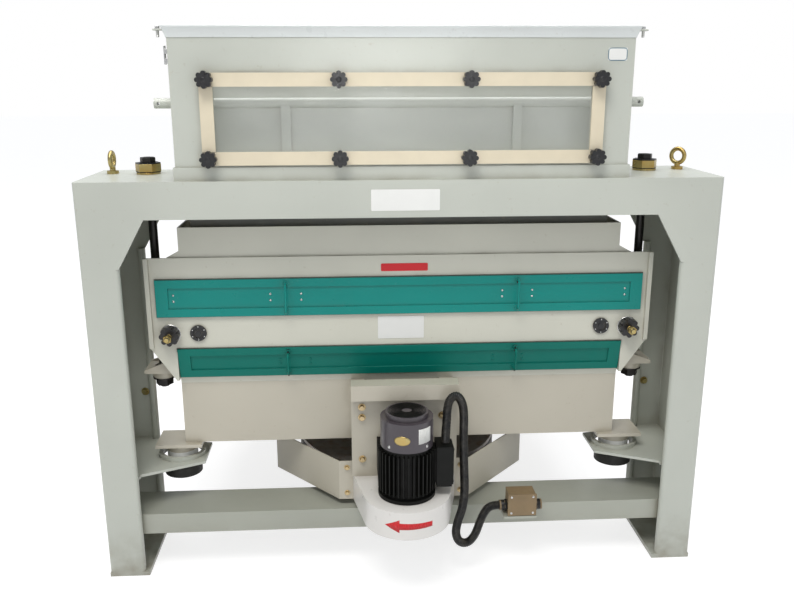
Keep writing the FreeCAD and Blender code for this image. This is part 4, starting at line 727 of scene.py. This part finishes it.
def sign(bm, x, y, z, width, height, thickness=0.8 * MM, rounding=3 * MM):
    """A thin bare plate that faces the front."""
    outline = plate_outline(width, height, rounding)
    rear = [bm.verts.new((x + u, y, z + v)) for u, v in outline]
    front = [bm.verts.new((x + u, y - thickness, z + v)) for u, v in outline]
    bm.faces.new(rear[::-1])
    bm.faces.new(front)
    for index in range(len(outline)):
        following = (index + 1) % len(outline)
        bm.faces.new((rear[index], rear[following], front[following], front[index]))


sign(plates, 1 * MM, beam_low[1], beam_high[2] - 52 * MM, 180 * MM, 56 * MM)
BOX_PLATE = (50 * MM, 32 * MM)
box_plate_x = 545 * MM
box_plate_z = rim_low[2] - 40 * MM
sign(plates, box_plate_x, box_low[1] + 5 * MM, box_plate_z, *BOX_PLATE)
piece("bare_plates_portal", plates, LABEL, "portals")

BORDER_WIDTH = 2 * MM
border = bmesh.new()
border_y = box_low[1] + 4.1 * MM
outlines = []
for inset in (0.0, BORDER_WIDTH):
    outlines.append([
        border.verts.new((box_plate_x + u, border_y, box_plate_z + v))
        for u, v in plate_outline(BOX_PLATE[0] - 2 * inset, BOX_PLATE[1] - 2 * inset,
                                  8 * MM - inset)])
outer, inner = outlines
for index in range(len(outer)):
    following = (index + 1) % len(outer)
    border.faces.new((outer[index], outer[following], inner[following], inner[index]))
thicken(piece("plate_border", border, BORDER, "portals"), 0.3 * MM)

plates = bmesh.new()
sign(plates, -4 * MM, face_y, clamp_z + 9 * MM, 132 * MM, 66 * MM)
piece("bare_plate_band", plates, LABEL, "screen_box")

plates = bmesh.new()
sign(plates, 6 * MM, face_y, door_high[2] + 27 * MM, 132 * MM, 22 * MM)
piece("bare_plate_red", plates, RED, "screen_box")

# Turning arrow round the nose of the belt cover

NOSE_RADIUS = 120 * MM
LIFT = 0.1 * MM
TAIL_TURN = 31.0
NECK_TURN = -13.0
HEAD_SPREAD = 20.0
arrow_level = cover_low[2] + 40 * MM
arrow = bmesh.new()


def nose_point(degrees, level):
    """A place just off the round nose of the belt cover, so many degrees from its tip."""
    angle = math.radians(degrees)
    radius = NOSE_RADIUS + LIFT
    return (radius * math.sin(angle), cover_low[1] + NOSE_RADIUS - radius * math.cos(angle),
            level)


def arrow_strip(steps, start, turn, half_start, half_change):
    """A strip of the arrow that turns by so much while its half width changes."""
    for index in range(steps):
        spans = []
        for step in (index, index + 1):
            degrees = start + turn * step / steps
            half = half_start + half_change * step / steps
            spans.append([arrow.verts.new(nose_point(degrees, arrow_level - half)),
                          arrow.verts.new(nose_point(degrees, arrow_level + half))])
        near, far = spans
        arrow.faces.new((near[0], far[0], far[1], near[1]))


arrow_strip(14, TAIL_TURN, NECK_TURN - TAIL_TURN, 7.5 * MM, 2 * MM)
arrow_strip(6, NECK_TURN, -HEAD_SPREAD, 19.05 * MM, -19 * MM)
thicken(piece("turning_arrow", arrow, RED, "screen_box"), 0.1 * MM)

# Motor: its plate's bolts, terminal cover, fan guard, bare rating plate and oval plate

motor_y = (fan_low[1] + fan_high[1]) / 2
PLATE_BOLTS = ((-120, 493), (-120, 462), (-120, 334), (107, 463), (107, 334))
motor_bolts = bmesh.new()
for x, z in PLATE_BOLTS:
    hex_head(motor_bolts, (x * MM, plate_low[1] + 40 * MM, z * MM), OUT, 13 * MM, 8 * MM,
             washer=11 * MM)
for side in SIDES:
    for level in (20, 100):
        hex_head(motor_bolts, (side * 165 * MM, guard_low[1],
                               cover_low[2] + level * MM), OUT, 10 * MM, 6 * MM,
                 washer=8.5 * MM)
    for shift in (-1, 1):
        hex_head(motor_bolts, (side * 62 * MM, motor_y + (48 + 20 * shift) * MM,
                               cover_high[2] + 122 * MM), UP, 10 * MM, 7 * MM,
                 washer=8 * MM)
piece("motor_bolts", motor_bolts, ZINC, "screen_box")

LID_MARGIN = 4 * MM
SCREW_MARGIN = 11 * MM
lid_face = terminal_high[0] + 5 * MM
terminal_cover = bmesh.new()
cuboid(terminal_cover,
       (terminal_high[0], terminal_low[1] + LID_MARGIN, terminal_low[2] + LID_MARGIN),
       (lid_face, terminal_high[1] - LID_MARGIN, terminal_high[2] - LID_MARGIN))
for y in (terminal_low[1] + SCREW_MARGIN, terminal_high[1] - SCREW_MARGIN):
    for z in (terminal_low[2] + SCREW_MARGIN, terminal_high[2] - SCREW_MARGIN):
        dome(terminal_cover, (lid_face, y, z), (1, 0, 0), 3.4 * MM, 2 * MM, 14)
piece("terminal_cover", terminal_cover, MOTOR, "screen_box", bevel=1.2)

fan_radius = fan_high[0]
fan_screws = bmesh.new()
for step in range(4):
    angle = math.radians(45 + 90 * step)
    way = (math.cos(angle), math.sin(angle), 0)
    dome(fan_screws, (way[0] * fan_radius, motor_y + way[1] * fan_radius,
                      fan_low[2] + 12 * MM), way, 4.5 * MM, 2.4 * MM, 14)
piece("fan_cover_screws", fan_screws, STEEL, "screen_box")

WIRE = 0.9
guard = bmesh.new()
for radius in range(15, 55, 4):
    near, far = (radius - WIRE) * MM, (radius + WIRE) * MM
    lathe(guard, (0, motor_y, fan_high[2]), UP, [
        (near, -0.4 * MM), (near, 1.2 * MM), (far, 1.2 * MM), (far, -0.4 * MM),
        (near, -0.4 * MM)], 40)
piece("fan_guard", guard, MOTOR, "screen_box")


def on_fan_cover(bm, lift, turn, level):
    """A new vertex just off the fan cover, so many radians round it from the front."""
    radius = fan_radius + lift
    return bm.verts.new((radius * math.sin(turn), motor_y - radius * math.cos(turn), level))


RATING_TURN = 22.0
RATING_SPREAD = 34.0
rating = bmesh.new()
for index in range(8):
    spans = []
    for step in (index, index + 1):
        turn = math.radians(RATING_TURN + RATING_SPREAD * step / 8)
        spans.append([on_fan_cover(rating, 0.5 * MM, turn, fan_low[2] + rise * MM)
                      for rise in (24, 66)])
    near, far = spans
    rating.faces.new((near[0], far[0], far[1], near[1]))
thicken(piece("rating_plate", rating, LABEL, "screen_box"), 0.4 * MM)

OVAL_STEPS = 24
OVAL_TURN = math.radians(-14)
OVAL_HALF_WIDTH = 22 * MM
oval = bmesh.new()


def oval_ring(share):
    """A ring of the oval plate, bent round the fan cover, at a share of its size."""
    ring = []
    for step in range(OVAL_STEPS):
        angle = math.tau * step / OVAL_STEPS
        turn = OVAL_TURN + share * math.cos(angle) * OVAL_HALF_WIDTH / fan_radius
        ring.append(on_fan_cover(oval, 0.6 * MM, turn,
                                 fan_low[2] + (36 + 13 * share * math.sin(angle)) * MM))
    return ring


rings = [oval_ring(share) for share in (0.2, 0.5, 0.8, 1.0)]
oval.faces.new(rings[0])
for inner, outer in zip(rings, rings[1:]):
    for step in range(OVAL_STEPS):
        following = (step + 1) % OVAL_STEPS
        oval.faces.new((inner[step], outer[step], outer[following], inner[following]))
thicken(piece("oval_plate", oval, BRASS, "screen_box"), 0.4 * MM)

# Conduit: a corrugated tube along a smooth line through its route

FRONT = -950.0
CONDUIT_ROUTE = [
    (106.0, -70.0, 426.3), (106.0, -70.0, 452.0), (109.0, -66.0, 482.0),
    (111.0, -56.0, 514.0), (118.0, -47.0, 542.0), (138.0, -44.0, 553.0),
    (154.0, -44.0, 532.0), (160.0, -43.0, 492.0), (159.0, -42.0, 430.0),
    (162.0, -42.0, 350.0), (166.0, -44.0, 270.0), (161.0, -47.0, 212.0),
    (146.0, -50.0, 170.0), (140.0, -52.0, 134.0), (152.0, -52.0, 105.0),
    (178.0, -48.0, 100.0), (199.0, -41.0, 122.0), (211.0, -32.0, 151.0),
    (225.0, -20.0, 177.0), (246.0, -4.5, 193.8), (273.0, -4.5, 193.8)]
route = [Vector((x * MM, (y + FRONT) * MM, z * MM)) for x, y, z in CONDUIT_ROUTE]
guide = bpy.data.curves.new("conduit_line", "CURVE")
guide.dimensions = "3D"
spline = guide.splines.new("NURBS")
spline.points.add(len(route) - 1)
for point, spot in zip(spline.points, route):
    point.co = (*spot, 1.0)
spline.order_u = 3
spline.use_endpoint_u = True
spline.resolution_u = 24
guide_object = bpy.data.objects.new("conduit_line", guide)
line = [vertex.co.copy() for vertex in bpy.data.meshes.new_from_object(guide_object).vertices]
bpy.data.objects.remove(guide_object)


def even_points(points, spacing):
    """Points a fixed distance apart along a line."""
    picked = [points[0]]
    left = spacing
    for start, end in zip(points, points[1:]):
        run = (end - start).length
        walked = 0.0
        while run - walked >= left:
            walked += left
            picked.append(start + (end - start) * (walked / run))
            left = spacing
        left -= run - walked
    return picked


CONDUIT_RADIUS = 12.5 * MM
CONDUIT_SIDES = 18
RIDGE = 3.9 * MM
DEPTHS = (1.9 * MM, 0.5 * MM, 0.0, 0.5 * MM)
stations = even_points(line, RIDGE / 4)
hose = bmesh.new()
across = Vector((1, 0, 0))
rings = []
for index, spot in enumerate(stations):
    way = (stations[min(index + 1, len(stations) - 1)]
           - stations[max(index - 1, 0)]).normalized()
    across = (across - way * across.dot(way)).normalized()
    second = way.cross(across)
    radius = CONDUIT_RADIUS - DEPTHS[index % 4]
    rings.append([hose.verts.new(spot + radius * (
        across * math.cos(math.tau * step / CONDUIT_SIDES)
        + second * math.sin(math.tau * step / CONDUIT_SIDES)))
        for step in range(CONDUIT_SIDES)])
tube_skin(hose, rings)
hose.faces.new(rings[0][::-1])
hose.faces.new(rings[-1])
conduit = piece("conduit_hose", hose, CONDUIT, "portals", sharp=70)
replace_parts(conduit, "conduit")

NIPPLE = 22 * MM
glands = bmesh.new()
gland_y, gland_z = route[-1][1:]
for x, side in ((junction_low[0] + NIPPLE, -1), (junction_high[0] - NIPPLE, 1)):
    way = (side, 0, 0)
    hex_head(glands, (x, gland_y, gland_z), way, 30 * MM, 8 * MM, turn=0.2)
    lathe(glands, (x + side * 8 * MM, gland_y, gland_z), way, [
        (0, 0), (15.3 * MM, 0), (15.3 * MM, 9 * MM), (14 * MM, 13.6 * MM), (0, 13.8 * MM)], 24)
piece("junction_glands", glands, DARK_STEEL, "portals")

box_screws = bmesh.new()
for x in (junction_low[0] + NIPPLE + 8 * MM, junction_high[0] - NIPPLE - 8 * MM):
    for z in (junction_low[2] + 10 * MM, junction_high[2] - 8 * MM):
        dome(box_screws, (x, junction_low[1], z), OUT, 3.6 * MM, 1.8 * MM, 14)
piece("junction_screws", box_screws, STEEL, "portals")

# Bolts of the portal legs, and the sleeves round the limit posts

PORTAL_BACK = (950 - 305) * MM
PORTAL_WALL = 8 * MM
POST_X = 658 * MM
POST_Y = 770 * MM
ring_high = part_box("limit_brackets")[1]
leg_bolts = bmesh.new()
sleeves = bmesh.new()
for side in SIDES:
    for rear in SIDES:
        hex_head(leg_bolts, (side * 785 * MM, rear * (PORTAL_BACK + PORTAL_WALL), 453 * MM),
                 (0, rear, 0), 16 * MM, 9 * MM, washer=12 * MM)
        lathe(sleeves, (side * POST_X, rear * POST_Y, ring_high[2] - 18 * MM), UP, [
            (43.6 * MM, 0), (44.8 * MM, 0), (44.8 * MM, 24 * MM), (43.6 * MM, 24 * MM)], 40)
piece("leg_bolts", leg_bolts, BRASS, "portals")
piece("post_sleeves", sleeves, LABEL, "screen_box")

# Screws round the lid of the screen box, and bolts on the rear outlets

FALL = math.radians(4.4)
lid_front = house_low[1] + 166 * MM
lid_back = house_high[1] - 46 * MM
lid_way = Vector((0, math.sin(FALL), math.cos(FALL)))
lid_screws = bmesh.new()


def lid_spot(x, y):
    """A place on the lid panel, which falls with the screen box."""
    return (x, y, house_high[2] - (y - house_low[1]) * math.tan(FALL) + 4 * MM)


for step in range(13):
    y = lid_front + (lid_back - lid_front) * step / 12
    for side in SIDES:
        dome(lid_screws, lid_spot(side * 594 * MM, y), lid_way, 7 * MM, 3.4 * MM)
for x in range(-396, 397, 132):
    for y in (lid_front, lid_back):
        dome(lid_screws, lid_spot(x * MM, y), lid_way, 7 * MM, 3.4 * MM)
piece("lid_screws", lid_screws, STEEL, "screen_box")

back_bolts = bmesh.new()
back_level = lid_spot(0, house_high[1])[2] - 24 * MM
for x in range(-560, 561, 160):
    hex_head(back_bolts, (x * MM, house_high[1], back_level), BACKWARD, 13 * MM, 8 * MM,
             washer=11 * MM)
piece("back_bolts", back_bolts, STEEL, "screen_box")

FLANGE_TOP = 313.3 * MM
spout_bolts = bmesh.new()
for x in range(-220, 221, 110):
    for y in (817, 999):
        hex_head(spout_bolts, (x * MM, y * MM, FLANGE_TOP), UP, 8 * MM, 5 * MM,
                 washer=7 * MM)
piece("spout_bolts", spout_bolts, STEEL, "screen_box")

# Floor, light and camera

# Part of the floor's white is its own light to the camera and to reflections alone
FLOOR = Shade("studio_floor", 0.8)
FLOOR.shader.inputs["Base Color"].default_value = srgb(235, 235, 235)
glow = FLOOR.add("ShaderNodeEmission")
glow.inputs["Color"].default_value = (1, 1, 1, 1)
glow.inputs["Strength"].default_value = 1.5
blend = FLOOR.add("ShaderNodeMixShader")
path = FLOOR.add("ShaderNodeLightPath")
seen = FLOOR.add("ShaderNodeMath", operation="MAXIMUM")
FLOOR.link(path.outputs["Is Camera Ray"], seen.inputs[0])
FLOOR.link(path.outputs["Is Glossy Ray"], seen.inputs[1])
seen_share = FLOOR.span(seen.outputs[0], 0.0, 1.0, 0.0, 0.5)
FLOOR.link(seen_share, blend.inputs[0])
FLOOR.link(FLOOR.shader.outputs[0], blend.inputs[1])
FLOOR.link(glow.outputs[0], blend.inputs[2])
FLOOR.link(blend.outputs[0], FLOOR.tree.nodes["Material Output"].inputs["Surface"])
floor_mesh = bmesh.new()
cuboid(floor_mesh, (-30, -30, -0.02), (30, 30, 0))
mesh = bpy.data.meshes.new("floor")
floor_mesh.to_mesh(mesh)
floor_mesh.free()
mesh.materials.append(FLOOR.material)
floor = bpy.data.objects.new("floor", mesh)
bpy.context.scene.collection.objects.link(floor)

world = bpy.data.worlds.new("studio")
bpy.context.scene.world = world
world.use_nodes = True
tree = world.node_tree
sky = tree.nodes["Background"]
sky.inputs["Color"].default_value = (0.92, 0.95, 1.0, 1.0)
sky.inputs["Strength"].default_value = 0.60
white = tree.nodes.new("ShaderNodeBackground")
white.inputs["Color"].default_value = (1, 1, 1, 1)
rays = tree.nodes.new("ShaderNodeLightPath")
direct = tree.nodes.new("ShaderNodeMath")
direct.operation = "MAXIMUM"
tree.links.new(rays.outputs["Is Camera Ray"], direct.inputs[0])
tree.links.new(rays.outputs["Is Transmission Ray"], direct.inputs[1])
choice = tree.nodes.new("ShaderNodeMixShader")
tree.links.new(direct.outputs[0], choice.inputs[0])
tree.links.new(sky.outputs[0], choice.inputs[1])
tree.links.new(white.outputs[0], choice.inputs[2])
tree.links.new(choice.outputs[0], tree.nodes["World Output"].inputs["Surface"])


def lamp(name, spot, target, size, power, colour=(1, 1, 1), spread=math.pi):
    light = bpy.data.lights.new(name, "AREA")
    light.shape = "RECTANGLE"
    light.size, light.size_y = size
    light.energy = power
    light.color = colour
    light.spread = spread
    thing = bpy.data.objects.new(name, light)
    thing.location = spot
    thing.rotation_euler = (Vector(target) - Vector(spot)).to_track_quat("-Z", "Y").to_euler()
    bpy.context.scene.collection.objects.link(thing)


lamp("key_light", (-0.9, -3.2, 4.9), (0, -0.6, 0.7), (2.6, 1.6), 130, (1.0, 0.98, 0.95))
lamp("fill_light", (3.0, -3.2, 2.4), (0, -0.3, 0.7), (2.2, 2.2), 10)
lamp("top_light", (0, 0.2, 4.6), (0, 0.0, 0.8), (3.4, 2.6), 125)
lamp("window_light", (0, -3.4, 1.5), (0, -0.85, 1.33), (0.8, 0.3), 0.24, spread=0.42)

# Solved on the portal's corners in the photograph, in radians and metres
YAW = 0.0574
TILT = 0.2594
ROLL = -0.0019
EYE = (-0.1453, -3.0968, 1.3877)
camera_data = bpy.data.cameras.new("camera")
camera_data.lens = 37.55
camera_data.sensor_width = 36.0
camera = bpy.data.objects.new("camera", camera_data)
forward = Vector((math.sin(YAW) * math.cos(TILT), math.cos(YAW) * math.cos(TILT),
                  -math.sin(TILT)))
camera.matrix_world = (Matrix.Translation(EYE)
                       @ forward.to_track_quat("-Z", "Y").to_matrix().to_4x4()
                       @ Matrix.Rotation(ROLL, 4, "Z"))
bpy.context.scene.collection.objects.link(camera)
bpy.context.scene.camera = camera

bpy.context.scene.view_settings.view_transform = "Standard"
